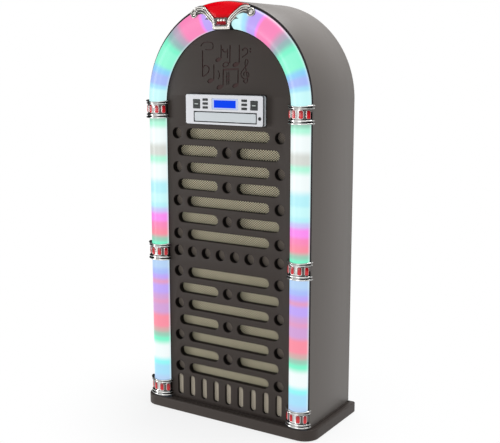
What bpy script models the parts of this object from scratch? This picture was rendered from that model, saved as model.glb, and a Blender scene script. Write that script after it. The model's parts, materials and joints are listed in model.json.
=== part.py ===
"""Floor-standing home jukebox with an arched top, lit tubes and a disc player behind its fascia.

Metres, +Z up. The origin is on the floor under the middle of the plinth; the front faces -Y.
"""
import math

import bmesh
import bpy

# Clearances
GAP = 0.0003
OVERRUN = 0.002

# Cabinet: one bent wrap round the sides and the arch
CABINET_WIDTH = 0.480
CABINET_DEPTH = 0.2205
SPRINGLINE_HEIGHT = 0.825
CABINET_WALL = 0.012
ARCH_STEPS = 32

# Plinth, with a routed quirk round its top
PLINTH_TOP = 0.030
PLINTH_FRONT_OVERHANG = 0.024
PLINTH_SIDE_OVERHANG = 0.018
PLINTH_REAR_OVERHANG = 0.0035
PLINTH_FRONT_RADIUS = 0.040
PLINTH_REAR_RADIUS = 0.003
PLINTH_EDGE_RADIUS = 0.004
PLINTH_CORNER_STEPS = 6
QUIRK_INSET = 0.0105
QUIRK_WIDTH = 0.003
QUIRK_DEPTH = 0.0015

# Rubber pads under the plinth
FOOT_RADIUS = 0.014
FOOT_HEIGHT = 0.0025
FOOT_INSET = 0.035
FOOT_DISH_RADIUS = 0.006
FOOT_DISH_DEPTH = 0.001
FOOT_STEPS = 12

# Front baffle and its grille
BAFFLE_THICKNESS = 0.016
GRILLE_TOP_ROW = 0.7417
LOWER_GRILLE_TOP_ROW = 0.3807
GRILLE_ROW_PITCH = 0.0434
LONG_ROWS_PER_FIELD = 4
ROUND_HOLE_RADIUS = 0.014
HOLE_STEPS = 12
SLOT_HEIGHT = 0.027
LONG_SLOT_LENGTH = 0.245
SHORT_SLOT_LENGTH = 0.1225
LONG_SLOT_WEB = 0.0155
SHORT_SLOT_WEB = 0.01455
MIDDLE_ROW = 0.436
MIDDLE_ROW_HOLES = 8
UPRIGHT_SLOTS = 9
UPRIGHT_SLOT_LOW = 0.0405
UPRIGHT_SLOT_HIGH = 0.097
UPRIGHT_SLOT_WIDTH = 0.017
VENT_WEB = 0.007
VENT_REBATE_MARGIN = 0.005

# Cloth, speaker board and speakers
CLOTH_THICKNESS = 0.0012
CLOTH_MARGIN = 0.010
BOARD_THICKNESS = 0.009
SPEAKER_RADIUS = 0.066
SPEAKER_OPENING_RADIUS = 0.0575
SPEAKER_FLANGE = 0.003
SPEAKER_BORE_RADIUS = 0.0562
SPEAKER_BORE_DEPTH = 0.008
BASKET_WALL = 0.0018
BASKET_DEPTH = 0.036
BASKET_NECK_RADIUS = 0.027
MAGNET_RADIUS = 0.036
MAGNET_DEPTH = 0.016
SPEAKER_STEPS = 16
CONE_THICKNESS = 0.0014
CONE_NECK_RADIUS = 0.013
CONE_DEPTH = 0.022
CONE_TRAVEL = 0.0025

# Rear panel
REAR_THICKNESS = 0.006
REAR_REBATE_WIDTH = 0.006
VENT_SLOTS = 6
VENT_SLOT_LENGTH = 0.090
VENT_SLOT_HEIGHT = 0.006
VENT_SLOT_PITCH = 0.016
REAR_VENT_HEIGHT = 0.800

# Lenses of the light tubes and the arch, thin shells of half-elliptic section
TUBE_INSET = 0.03025
TUBE_HALF_WIDTH = 0.02625
LENS_PROTRUSION = 0.018
LENS_WALL = 0.0022
LENS_STEPS = 9
ARCH_LENS_STEPS = 11
ARCH_OUTER_INSET = 0.0065
ARCH_INNER_INSET = 0.0655
ARCH_HALF_PARTING = 0.0065
STRIP_WIDTH = 0.010
STRIP_THICKNESS = 0.0012

# Collars and their jewel bands
COLLAR_FOOT_LIFT = 0.0253
COLLAR_WAIST_DROP = 0.008
COLLAR_SHOULDER_DROP = 0.0245
COLLAR_LENGTH = 0.050
COLLAR_HALF_WIDTH = 0.0312
COLLAR_PROTRUSION = 0.0216
COLLAR_LIP = 0.0021
COLLAR_WALL = 0.0014
COLLAR_WINDOW_CENTRES = (-56.0, -18.7, 18.7, 56.0)
COLLAR_WINDOW_HALF_ANGLE = 11.0
COLLAR_LEVEL_SHARES = (0.0, 0.09, 0.25, 0.75, 0.91, 1.0)
COLLAR_LIP_SHARES = (0.7, 1.0, 0.0, 0.0, 1.0, 0.7)
TUBE_END_GAP = 0.001
JEWEL_BAND_WALL = 0.0007
JEWEL_PROUD = 0.0016
JEWEL_BAND_LENGTH = 0.0246
JEWEL_SHOULDER_SHARE = 0.20
JEWEL_BAND_SWEEP = 69.0

# Crown: chrome ornament, red dome and window stone
CROWN_FOOT_DROP = 0.0685
CROWN_HALF_SPAN = 0.0920
CROWN_RISE = 0.0530
CROWN_THICKNESS = 0.0038
VOLUTE_CENTRE_X = 0.0815
VOLUTE_RISE = 0.0395
VOLUTE_RADIUS = 0.0105
VOLUTE_STEPS = 12
CROWN_NECK_SHARES = ((0.261, 0.0), (0.277, 0.075), (0.270, 0.19), (0.288, 0.30), (0.337, 0.40),
                     (0.402, 0.465), (0.489, 0.480), (0.440, 0.55), (0.457, 0.62), (0.543, 0.68),
                     (0.652, 0.725))
CROWN_ARM_SHARES = ((0.652, 0.985), (0.500, 0.935), (0.375, 0.775), (0.277, 0.61), (0.206, 0.515))
CROWN_BAR_SHARES = ((0.150, 0.465), (0.110, 0.500), (0.060, 0.475))
CROWN_BAR_MIDDLE_SHARE = 0.515
CROWN_WINDOW_SHARES = ((-0.170, 0.225), (0.170, 0.225), (0.127, 0.375), (-0.127, 0.375))
CROWN_LEG_HALF_WIDTH = 0.0055
CROWN_LEG_LOW = 0.0055
CROWN_LEG_HIGH = 0.0235
CROWN_LEG_SETBACK = 0.0030
DOME_HALF_SPAN = 0.064
DOME_LIFT = 0.0008
DOME_CENTRE_SHARE = 0.38
DOME_EDGE_INSET = 0.0008
DOME_TOP_STEPS = 12
DOME_SKIRT = 0.0045
DOME_CROWN_SHARES = ((1.0, 0.0), (0.95, 0.45), (0.80, 0.80), (0.50, 1.0))
DOME_EDGE = 0.0016
DOME_BULGE = 0.0034
STONE_THICKNESS = 0.0020
STONE_SEAT = 0.0010

# Control fascia
FASCIA_WIDTH = 0.226
FASCIA_LOW = 0.7685
FASCIA_HIGH = 0.8412
FASCIA_PROTRUSION = 0.014
FASCIA_WALL = 0.0025
FASCIA_CORNER_RADIUS = 0.005
FASCIA_EDGE = 0.0025
CORNER_STEPS = 3
BOSS_RADIUS = 0.0026
BOSS_INSET = 0.0090
BOSS_CORNER = 0.0045
PLAYER_WINDOW_WIDTH = 0.196
PLAYER_WINDOW_MARGIN = 0.003
DISPLAY_WIDTH = 0.076
DISPLAY_HEIGHT = 0.026
DISPLAY_CENTRE = (0.004, 0.8191)
DISPLAY_EDGE = 0.0008
DISPLAY_CORNER = 0.0015
BUTTON_WIDTH = 0.015
BUTTON_HEIGHT = 0.0050
BUTTON_PROUD = 0.0014
BUTTON_EDGE = 0.0006
BUTTON_CORNER = 0.0008
BUTTON_FLANGE = 0.001
BUTTON_FLANGE_THICKNESS = 0.0012
BUTTON_TRAVEL = 0.0010
BUTTON_COLUMNS = (("left", -0.054), ("right", 0.060))
BUTTON_MIDDLE = 0.8192
BUTTON_PITCH = 0.0096
ROCKER_WIDTH = 0.0195
ROCKER_HEIGHT = 0.0216
ROCKER_PROUD = 0.0016
ROCKER_DISH = 0.0006
ROCKER_EDGE = 0.0005
ROCKER_PIN_RADIUS = 0.0010
ROCKER_PIN_LENGTH = 0.0022
ROCKER_TAIL = 0.0012
ROCKER_TILT = 3.5
ROCKER_CLEARANCE = 0.0006
ROCKER_CENTRES = (("left", -0.080), ("right", 0.088))
ROCKER_MIDDLE = 0.8180
BOARD_PLATE = 0.0016
BOARD_SETBACK = 0.0080
BOARD_EDGE = 0.0045
BOARD_LOW = 0.8035
BOARD_TOP_CLEARANCE = 0.0015
SWITCH_SIZE = 0.0030
JACK_X = 0.1038
JACK_Z = 0.787
JACK_RADIUS = 0.0036
JACK_RIM = 0.0042
JACK_RIM_PROUD = 0.0008
JACK_BORE = 0.00175
JACK_LENGTH = 0.012
JACK_STEPS = 12

# Disc tray and its door
DOOR_WIDTH = 0.180
DOOR_HEIGHT = 0.022
DOOR_CENTRE = (0.0035, 0.787)
DOOR_THICKNESS = 0.0040
DOOR_PROUD = 0.0005
DOOR_CLEARANCE = 0.0010
DOOR_CORNER = 0.003
DOOR_EDGE = 0.0006
TRAY_WIDTH = 0.132
TRAY_LOW = 0.7850
TRAY_THICKNESS = 0.0050
TRAY_FRONT_MARGIN = 0.008
TRAY_TAIL = 0.055
TRAY_CORNER = 0.006
DISC_RADIUS = 0.060
DISC_CLEARANCE = 0.0010
DISC_WELL_DEPTH = 0.0020
SMALL_DISC_RADIUS = 0.040
SMALL_WELL_DEPTH = 0.0010
WELL_STEPS = 28
TRAY_SLOT_RADIUS = 0.019
TRAY_SLOT_REACH = 0.045
TRAY_TRAVEL = 0.135

# Rack and loading gear
GEAR_MODULE = 0.0015
GEAR_TEETH = 14
GEAR_THICKNESS = 0.0033
GEAR_BORE = 0.0023
GEAR_Y = -0.070
TOOTH_ADDENDUM_SHARE = 0.85
TOOTH_DEDENDUM_SHARE = 1.10
TOOTH_BACKLASH = 0.00045
PRESSURE_ANGLE = 20.0
RACK_PITCH_LINE = -0.0570
RACK_DEPTH = 0.0032
RACK_BACK = 0.0025
RACK_LEAD = 0.0035
GEAR_DROP = 0.0008

# Player chassis
CHASSIS_LOW = 0.7590
CHASSIS_FLOOR = 0.0025
CHASSIS_WALL = 0.004
CHASSIS_TOP = 0.7947
CHASSIS_REAR = 0.090
CHASSIS_LIP = 0.003
CHASSIS_LIP_THICKNESS = 0.0022
CHASSIS_EAR_WIDTH = 0.042
CHASSIS_EAR_THICKNESS = 0.0025
POST_RADIUS = 0.0019
POST_SHOULDER = 0.0045
POST_STEPS = 12
CHEEK_THICKNESS = 0.003
CHEEK_HALF_LENGTH = 0.006
CHEEK_TOP = 0.7775

# Pickup cradle, turntable, sled
CRADLE_HALF_WIDTH = 0.030
CRADLE_LOW = 0.7720
CRADLE_THICKNESS = 0.0025
CRADLE_FRONT = -0.066
CRADLE_PIVOT = (0.062, 0.7732)
CRADLE_PIN_RADIUS = 0.0015
CRADLE_PIN_REACH = 0.0365
CRADLE_TAIL = 0.004
CRADLE_WINDOW_MARGIN = 0.026
MOTOR_RADIUS = 0.009
MOTOR_DEPTH = 0.0065
SHAFT_RADIUS = 0.0010
TURNTABLE_RADIUS = 0.0155
TURNTABLE_LOW = 0.7795
TURNTABLE_THICKNESS = 0.0020
SPINDLE_RADIUS = 0.0072
SPINDLE_RISE = 0.0026
SPINDLE_NOSE_SHARE = 0.8
TURN_STEPS = 16
SLED_WIDTH = 0.0310
SLED_LENGTH = 0.026
SLED_LOW = 0.7690
SLED_HEIGHT = 0.0095
SLED_NEAR = 0.027
LENS_RADIUS = 0.0035
LENS_RISE = 0.0008

# Clamp over the disc
BRIDGE_WIDTH = 0.036
BRIDGE_THICKNESS = 0.0020
CLAMP_RADIUS = 0.0150
CLAMP_LOW = 0.7912
CLAMP_THICKNESS = 0.0028
CLAMP_RECESS_RADIUS = 0.0085
CLAMP_RECESS_DEPTH = 0.0014
CLAMP_NECK_RADIUS = 0.0060
CLAMP_HOLE_RADIUS = 0.0066
CLAMP_CAP_RADIUS = 0.0110
CLAMP_CAP_THICKNESS = 0.0018

# Amplifier board on the plinth, mains inlet in the rear panel
AMPLIFIER_SIZE = (0.150, 0.090, 0.0020)
AMPLIFIER_WALL_OFFSET = 0.118
AMPLIFIER_MIDDLE_Y = 0.052
STANDOFF_HEIGHT = 0.006
STANDOFF_RADIUS = 0.003
STANDOFF_INSET = 0.008
TRANSFORMER_SIZE = (0.056, 0.048, 0.044)
TRANSFORMER_BOBBIN = (0.034, 0.066, 0.030)
TRANSFORMER_SHIFT = 0.036
HEATSINK_LENGTH = 0.062
HEATSINK_HEIGHT = 0.030
HEATSINK_BASE = 0.004
HEATSINK_DEPTH = 0.022
HEATSINK_FINS = 7
HEATSINK_SHIFT = 0.035
FIN_SHARE = 0.45
INLET_CENTRE = (0.110, 0.085)
INLET_WIDTH = 0.030
INLET_HEIGHT = 0.021
INLET_FLANGE = 0.003
INLET_FLANGE_THICKNESS = 0.0020
INLET_DEPTH = 0.016
INLET_WELL_WIDTH = 0.0170
INLET_WELL_HEIGHT = 0.0090
INLET_WELL_DEPTH = 0.011
PIN_RADIUS = 0.0012
PIN_SPREAD = 0.0044
PIN_LENGTH = 0.009
PIN_STEPS = 8

# Places that follow from the sizes
PLINTH_DEPTH = PLINTH_FRONT_OVERHANG + CABINET_DEPTH + PLINTH_REAR_OVERHANG
FACE_Y = PLINTH_FRONT_OVERHANG - PLINTH_DEPTH / 2
BACK_Y = FACE_Y + CABINET_DEPTH
BAFFLE_BACK = FACE_Y + BAFFLE_THICKNESS
CLOTH_FRONT = BAFFLE_BACK + GAP
BOARD_FRONT = CLOTH_FRONT + CLOTH_THICKNESS + GAP
BOARD_BACK = BOARD_FRONT + BOARD_THICKNESS
CABINET_HALF = CABINET_WIDTH / 2
INNER_HALF = CABINET_HALF - CABINET_WALL
GRILLE_HALF_SPAN = LONG_SLOT_LENGTH / 2 + LONG_SLOT_WEB + ROUND_HOLE_RADIUS
SHORT_SLOT_CENTRE = SHORT_SLOT_LENGTH / 2 + SHORT_SLOT_WEB + ROUND_HOLE_RADIUS
TUBE_CENTRE = CABINET_HALF - TUBE_INSET
ARCH_OUTER_CREST = CABINET_HALF - ARCH_OUTER_INSET
ARCH_INNER_CREST = CABINET_HALF - ARCH_INNER_INSET
COLLAR_FOOT = PLINTH_TOP + COLLAR_FOOT_LIFT
COLLAR_SHOULDER = SPRINGLINE_HEIGHT - COLLAR_SHOULDER_DROP
COLLAR_HEIGHTS = (COLLAR_FOOT, MIDDLE_ROW - COLLAR_WAIST_DROP, COLLAR_SHOULDER)
AMPLIFIER_CENTRE = (AMPLIFIER_WALL_OFFSET - INNER_HALF, AMPLIFIER_MIDDLE_Y)
COLLAR_WINDOW_ROW = len(COLLAR_LEVEL_SHARES) // 2 - 1
CROWN_FOOT_HEIGHT = SPRINGLINE_HEIGHT + CABINET_HALF - CROWN_FOOT_DROP
VOLUTE_CENTRE_Z = CROWN_FOOT_HEIGHT + VOLUTE_RISE
FASCIA_FRONT = FACE_Y - FASCIA_PROTRUSION
FASCIA_INSIDE = FASCIA_FRONT + FASCIA_WALL
BOARD_FACE = FASCIA_FRONT + BOARD_SETBACK
DISC_Y = FASCIA_FRONT + DOOR_THICKNESS + TRAY_FRONT_MARGIN + DISC_RADIUS
TRAY_TOP = TRAY_LOW + TRAY_THICKNESS
GEAR_RADIUS = GEAR_MODULE * GEAR_TEETH / 2
GEAR_X = RACK_PITCH_LINE + GEAR_RADIUS
LENS_BACK_Y = FACE_Y - GAP
CROWN_BACK_Y = FACE_Y - LENS_PROTRUSION - 2 * GAP
CRADLE_TOP = CRADLE_LOW + CRADLE_THICKNESS


def clear_scene():
    """Remove whatever the file opened with."""
    for old in list(bpy.data.objects):
        bpy.data.objects.remove(old, do_unlink=True)


def material(name, colour, roughness, metallic=0.0):
    """Make one piece's Principled material."""
    made = bpy.data.materials.new(name)
    made.use_nodes = True
    shader = made.node_tree.nodes["Principled BSDF"]
    shader.inputs["Base Color"].default_value = (*colour, 1.0)
    shader.inputs["Roughness"].default_value = roughness
    shader.inputs["Metallic"].default_value = metallic
    return made


FINISHES = {
    "cabinet": ((0.150, 0.138, 0.130), 0.50, 0.0),
    "panel": ((0.065, 0.054, 0.048), 0.55, 0.0),
    "cloth": ((0.380, 0.350, 0.270), 0.90, 0.0),
    "lens": ((0.700, 0.900, 0.950), 0.25, 0.0),
    "chrome": ((0.850, 0.860, 0.870), 0.08, 1.0),
    "jewel": ((0.550, 0.030, 0.040), 0.15, 0.0),
    "silver": ((0.720, 0.740, 0.760), 0.30, 0.0),
    "key": ((0.030, 0.035, 0.040), 0.35, 0.0),
    "display": ((0.020, 0.100, 0.900), 0.10, 0.0),
    "rubber": ((0.020, 0.020, 0.020), 0.80, 0.0),
    "moulding": ((0.035, 0.035, 0.038), 0.45, 0.0),
    "steel": ((0.550, 0.560, 0.570), 0.30, 1.0),
    "paper": ((0.045, 0.043, 0.040), 0.85, 0.0),
    "circuit": ((0.030, 0.160, 0.060), 0.50, 0.0),
    "strip": ((0.850, 0.850, 0.800), 0.50, 0.0),
}


def add_object(name, bm, finish, origin=(0.0, 0.0, 0.0)):
    """Turn a bmesh in world places into a named object whose origin is where it pivots or sits."""
    bmesh.ops.remove_doubles(bm, verts=bm.verts, dist=GAP / 100)
    bmesh.ops.recalc_face_normals(bm, faces=bm.faces)
    for vert in bm.verts:
        vert.co.x -= origin[0]
        vert.co.y -= origin[1]
        vert.co.z -= origin[2]
    mesh = bpy.data.meshes.new(name)
    bm.to_mesh(mesh)
    bm.free()
    mesh.shade_smooth()
    mesh.set_sharp_from_angle(angle=math.radians(35))
    made = bpy.data.objects.new(name, mesh)
    made.location = origin
    made.data.materials.append(material(name, *FINISHES[finish]))
    bpy.context.scene.collection.objects.link(made)
    return made


def add_loft(bm, loops, closed=False):
    """Skin a row of equal loops into bm and cap its ends, or join the last loop to the first."""
    rings = [[bm.verts.new(point) for point in loop] for loop in loops]
    count = len(rings[0])
    pairs = list(zip(rings, rings[1:]))
    if closed:
        pairs.append((rings[-1], rings[0]))
    for low, high in pairs:
        for i in range(count):
            j = (i + 1) % count
            bm.faces.new((low[i], low[j], high[j], high[i]))
    if not closed:
        bm.faces.new(rings[0])
        bm.faces.new(rings[-1])


def loft(name, loops, finish, origin=(0.0, 0.0, 0.0), closed=False):
    """One solid skinned over a row of loops."""
    bm = bmesh.new()
    add_loft(bm, loops, closed)
    return add_object(name, bm, finish, origin)


def along_y(outline, y):
    """Stand an outline of X and Z up at a depth."""
    return [(x, y, z) for x, z in outline]


def along_z(outline, z):
    """Lay an outline of X and Y down at a height."""
    return [(x, y, z) for x, y in outline]


def prism_y(name, outline, low, high, finish, origin=(0.0, 0.0, 0.0)):
    """An outline of X and Z, extruded in depth."""
    return loft(name, [along_y(outline, low), along_y(outline, high)], finish, origin)


def prism_z(name, outline, low, high, finish, origin=(0.0, 0.0, 0.0)):
    """An outline of X and Y, extruded in height."""
    return loft(name, [along_z(outline, low), along_z(outline, high)], finish, origin)


def rectangle(low_u, high_u, low_v, high_v):
    """A plain rectangle's outline."""
    return [(low_u, low_v), (high_u, low_v), (high_u, high_v), (low_u, high_v)]


def arc(centre_u, centre_v, radius, start, end, steps):
    """Points along an arc, both ends included, angles in degrees."""
    points = []
    for i in range(steps + 1):
        angle = math.radians(start + (end - start) * i / steps)
        points.append((centre_u + radius * math.cos(angle), centre_v + radius * math.sin(angle)))
    return points


def circle(centre_u, centre_v, radius, steps):
    """A round outline."""
    return arc(centre_u, centre_v, radius, 0.0, 360.0, steps)[:-1]


def rounded_rectangle(centre, width, height, radius, steps=CORNER_STEPS):
    """A rectangle with round corners."""
    u = width / 2 - radius
    v = height / 2 - radius
    corners = ((u, v, 0.0), (-u, v, 90.0), (-u, -v, 180.0), (u, -v, 270.0))
    points = []
    for du, dv, start in corners:
        points += arc(centre[0] + du, centre[1] + dv, radius, start, start + 90.0, steps)
    return points


def slot(centre_u, centre_v, length, height, upright=False):
    """A slot with round ends."""
    reach = (length - height) / 2
    half_turn = HOLE_STEPS // 2
    right = arc(reach, 0.0, height / 2, -90.0, 90.0, half_turn)
    left = arc(-reach, 0.0, height / 2, 90.0, 270.0, half_turn)
    points = right + left
    if upright:
        return [(centre_u - v, centre_v + u) for u, v in points]
    return [(centre_u + u, centre_v + v) for u, v in points]


def tombstone(half_width, base, springline=SPRINGLINE_HEIGHT):
    """The cabinet's outline: upright sides under a half-round arch."""
    top = arc(0.0, springline, half_width, 180.0, 0.0, ARCH_STEPS)
    return [(-half_width, base)] + top + [(half_width, base)]


def revolve(name, profile, centre, axis, steps, finish, closed=False):
    """Turn a profile of (radius, distance along the axis) about the Y or Z axis through centre."""
    bm = bmesh.new()
    rings = []
    for radius, along in profile:
        ring = []
        for i in range(steps if radius > 0 else 1):
            angle = math.tau * i / steps
            u = radius * math.cos(angle)
            v = radius * math.sin(angle)
            if axis == "Y":
                ring.append(bm.verts.new((centre[0] + u, centre[1] + along, centre[2] + v)))
            else:
                ring.append(bm.verts.new((centre[0] + u, centre[1] + v, centre[2] + along)))
        rings.append(ring)
    pairs = list(zip(rings, rings[1:]))
    if closed:
        pairs.append((rings[-1], rings[0]))
    for one, two in pairs:
        for i in range(steps):
            j = (i + 1) % steps
            corners = [one[i % len(one)], one[j % len(one)], two[j % len(two)], two[i % len(two)]]
            corners = list(dict.fromkeys(corners))
            if len(corners) > 2:
                bm.faces.new(corners)
    return add_object(name, bm, finish, centre)


def apply_shape(target, tool, operation="DIFFERENCE"):
    """Cut a tool from a piece, or join it on, and hide the tool."""
    modifier = target.modifiers.new(tool.name, "BOOLEAN")
    modifier.operation = operation
    modifier.solver = "EXACT"
    modifier.object = tool
    tool.hide_render = True
    tool.display_type = "WIRE"


def cut_outlines(target, name, outlines, low, high, axis="Y"):
    """Cut a group of separate outlines through a piece between two places on an axis."""
    place = along_y if axis == "Y" else along_z
    bm = bmesh.new()
    for outline in outlines:
        add_loft(bm, [place(outline, low), place(outline, high)])
    apply_shape(target, add_object(name, bm, "key"))


def join_block(target, name, loops):
    """Join a lofted block on to a piece that it runs into."""
    apply_shape(target, loft(name, loops, "key"), "UNION")


def cabinet_shell():
    """The wrap: an arch-topped band, rebated at the back for the rear panel."""
    base = PLINTH_TOP + GAP
    outer = tombstone(CABINET_HALF, base)
    inner = tombstone(INNER_HALF, base)
    outline = outer + inner[::-1]
    shell = prism_y("cabinet_shell", outline, FACE_Y, BACK_Y, "cabinet")
    rebate = tombstone(INNER_HALF + REAR_REBATE_WIDTH, base - OVERRUN)
    cut_outlines(shell, "rear_rebate_cutter", [rebate], BACK_Y - REAR_THICKNESS - GAP, BACK_Y + OVERRUN)


def plinth_plan(inset):
    """The plinth's plan: generous front corners, nearly square rear ones."""
    half = CABINET_HALF + PLINTH_SIDE_OVERHANG - inset
    front = -PLINTH_DEPTH / 2 + inset
    back = PLINTH_DEPTH / 2 - inset
    round_front = PLINTH_FRONT_RADIUS - inset
    round_rear = max(PLINTH_REAR_RADIUS - inset, PLINTH_REAR_RADIUS / 4)
    steps = PLINTH_CORNER_STEPS
    points = arc(-half + round_front, front + round_front, round_front, 180.0, 270.0, steps)
    points += arc(half - round_front, front + round_front, round_front, 270.0, 360.0, steps)
    points += arc(half - round_rear, back - round_rear, round_rear, 0.0, 90.0, 2)
    points += arc(-half + round_rear, back - round_rear, round_rear, 90.0, 180.0, 2)
    return points


def base_plinth():
    """The moulded base with its rounded top edge and a quirk next to the cabinet."""
    edge = PLINTH_EDGE_RADIUS
    quirk_end = QUIRK_INSET + QUIRK_WIDTH
    profile = [(0.0, FOOT_HEIGHT + GAP), (0.0, PLINTH_TOP - edge)]
    profile += [(edge - u, PLINTH_TOP - edge + v) for u, v in arc(0.0, 0.0, edge, 30.0, 90.0, 2)]
    profile += [(QUIRK_INSET, PLINTH_TOP), (QUIRK_INSET, PLINTH_TOP - QUIRK_DEPTH),
                (quirk_end, PLINTH_TOP - QUIRK_DEPTH), (quirk_end, PLINTH_TOP)]
    loft("base_plinth", [along_z(plinth_plan(inset), z) for inset, z in profile], "panel")


def rubber_feet():
    """Four dished pads."""
    x = CABINET_HALF + PLINTH_SIDE_OVERHANG - FOOT_INSET
    y = PLINTH_DEPTH / 2 - FOOT_INSET
    profile = [(0.0, FOOT_DISH_DEPTH), (FOOT_DISH_RADIUS, FOOT_DISH_DEPTH), (FOOT_DISH_RADIUS, 0.0),
               (FOOT_RADIUS, 0.0), (FOOT_RADIUS, FOOT_HEIGHT), (0.0, FOOT_HEIGHT)]
    places = {"front_left": (-x, -y), "front_right": (x, -y), "rear_left": (-x, y), "rear_right": (x, y)}
    for place, (foot_x, foot_y) in places.items():
        revolve("rubber_foot_" + place, profile, (foot_x, foot_y, 0.0), "Z", FOOT_STEPS, "rubber")


def grille_outlines():
    """Every hole and slot over the main cloth."""
    outlines = []
    for top in (GRILLE_TOP_ROW, LOWER_GRILLE_TOP_ROW):
        for row in range(2 * LONG_ROWS_PER_FIELD - 1):
            z = top - row * GRILLE_ROW_PITCH
            if row % 2 == 0:
                outlines.append(slot(0.0, z, LONG_SLOT_LENGTH, SLOT_HEIGHT))
                holes = (-GRILLE_HALF_SPAN, GRILLE_HALF_SPAN)
            else:
                for side in (-1, 1):
                    outlines.append(slot(side * SHORT_SLOT_CENTRE, z, SHORT_SLOT_LENGTH, SLOT_HEIGHT))
                holes = (0.0,)
            outlines += [circle(x, z, ROUND_HOLE_RADIUS, HOLE_STEPS) for x in holes]
    for i in range(MIDDLE_ROW_HOLES):
        x = GRILLE_HALF_SPAN * (2 * i / (MIDDLE_ROW_HOLES - 1) - 1)
        outlines.append(circle(x, MIDDLE_ROW, ROUND_HOLE_RADIUS, HOLE_STEPS))
    return outlines


def upright_slots():
    """The nine upright slots at the foot of the baffle."""
    middle = (UPRIGHT_SLOT_LOW + UPRIGHT_SLOT_HIGH) / 2
    length = UPRIGHT_SLOT_HIGH - UPRIGHT_SLOT_LOW
    outlines = []
    for i in range(UPRIGHT_SLOTS):
        x = GRILLE_HALF_SPAN * (2 * i / (UPRIGHT_SLOTS - 1) - 1)
        outlines.append(slot(x, middle, length, UPRIGHT_SLOT_WIDTH, upright=True))
    return outlines


def vent_rebate(margin):
    """The pocket behind the upright slots, in which their cloth lies."""
    half = GRILLE_HALF_SPAN + UPRIGHT_SLOT_WIDTH + margin
    return rectangle(-half, half, UPRIGHT_SLOT_LOW - margin, UPRIGHT_SLOT_HIGH + margin)


def player_window(margin=0.0):
    """The window in the baffle behind the fascia."""
    height = FASCIA_HIGH - FASCIA_LOW - 2 * PLAYER_WINDOW_MARGIN + 2 * margin
    middle = (FASCIA_HIGH + FASCIA_LOW) / 2
    width = PLAYER_WINDOW_WIDTH + 2 * margin
    return rectangle(-width / 2, width / 2, middle - height / 2, middle + height / 2)


def front_baffle():
    """The perforated front panel."""
    outline = tombstone(INNER_HALF - GAP, PLINTH_TOP + GAP)
    baffle = prism_y("front_baffle", outline, FACE_Y, BAFFLE_BACK, "panel")
    openings = grille_outlines() + upright_slots() + [player_window()]
    cut_outlines(baffle, "grille_cutter", openings, FACE_Y - OVERRUN, BAFFLE_BACK + OVERRUN)
    pocket = [vent_rebate(VENT_REBATE_MARGIN)]
    cut_outlines(baffle, "vent_pocket_cutter", pocket, FACE_Y + VENT_WEB, BAFFLE_BACK + OVERRUN)


def cloths():
    """The two pieces of speaker cloth."""
    half = GRILLE_HALF_SPAN + ROUND_HOLE_RADIUS + CLOTH_MARGIN
    low = LOWER_GRILLE_TOP_ROW - 2 * (LONG_ROWS_PER_FIELD - 1) * GRILLE_ROW_PITCH - ROUND_HOLE_RADIUS
    main = rectangle(-half, half, low - GAP, GRILLE_TOP_ROW + ROUND_HOLE_RADIUS + GAP)
    prism_y("speaker_cloth", main, CLOTH_FRONT, CLOTH_FRONT + CLOTH_THICKNESS, "cloth")
    strip = vent_rebate(VENT_REBATE_MARGIN - GAP)
    front = FACE_Y + VENT_WEB + GAP
    prism_y("vent_cloth", strip, front, front + CLOTH_THICKNESS, "cloth")


def speaker_heights():
    """Each speaker sits behind the middle row of its field."""
    drop = (LONG_ROWS_PER_FIELD - 1) * GRILLE_ROW_PITCH
    return (("upper", GRILLE_TOP_ROW - drop), ("lower", LOWER_GRILLE_TOP_ROW - drop))


def speaker_board():
    """The board that carries the speakers and the player."""
    half = INNER_HALF - GAP
    outline = rectangle(-half, half, PLINTH_TOP + GAP, CHASSIS_LOW - GAP)
    board = prism_y("speaker_board", outline, BOARD_FRONT, BOARD_BACK, "panel")
    openings = [circle(0.0, z, SPEAKER_OPENING_RADIUS, SPEAKER_STEPS) for _, z in speaker_heights()]
    cut_outlines(board, "speaker_opening_cutter", openings, BOARD_FRONT - OVERRUN, BOARD_BACK + OVERRUN)


def speakers():
    """Basket with magnet, and the cone that moves in its bore."""
    rear = BASKET_DEPTH + MAGNET_DEPTH
    neck_inside = BASKET_NECK_RADIUS - BASKET_WALL
    basket = [(0.0, rear), (MAGNET_RADIUS, rear), (MAGNET_RADIUS, BASKET_DEPTH),
              (BASKET_NECK_RADIUS, BASKET_DEPTH), (SPEAKER_BORE_RADIUS + BASKET_WALL, SPEAKER_BORE_DEPTH),
              (SPEAKER_BORE_RADIUS + BASKET_WALL, SPEAKER_FLANGE), (SPEAKER_RADIUS, SPEAKER_FLANGE),
              (SPEAKER_RADIUS, 0.0), (SPEAKER_BORE_RADIUS, 0.0), (SPEAKER_BORE_RADIUS, SPEAKER_BORE_DEPTH),
              (neck_inside, BASKET_DEPTH - BASKET_WALL), (0.0, BASKET_DEPTH - BASKET_WALL)]
    rim = SPEAKER_BORE_RADIUS - GAP
    roll = rim - CONE_TRAVEL
    dome = CONE_DEPTH - CONE_NECK_RADIUS / 2
    cone = [(0.0, dome), (CONE_NECK_RADIUS / 2, dome + CONE_THICKNESS), (CONE_NECK_RADIUS, CONE_DEPTH),
            (roll, CONE_THICKNESS), (rim, 0.0), (rim, CONE_THICKNESS),
            (roll, 2 * CONE_THICKNESS), (CONE_NECK_RADIUS, CONE_DEPTH + CONE_THICKNESS),
            (0.0, CONE_DEPTH + CONE_THICKNESS)]
    for place, z in speaker_heights():
        centre = (0.0, BOARD_BACK + GAP, z)
        revolve("speaker_" + place, basket, centre, "Y", SPEAKER_STEPS, "steel")
        revolve("speaker_cone_" + place, cone, centre, "Y", SPEAKER_STEPS, "paper")


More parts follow.
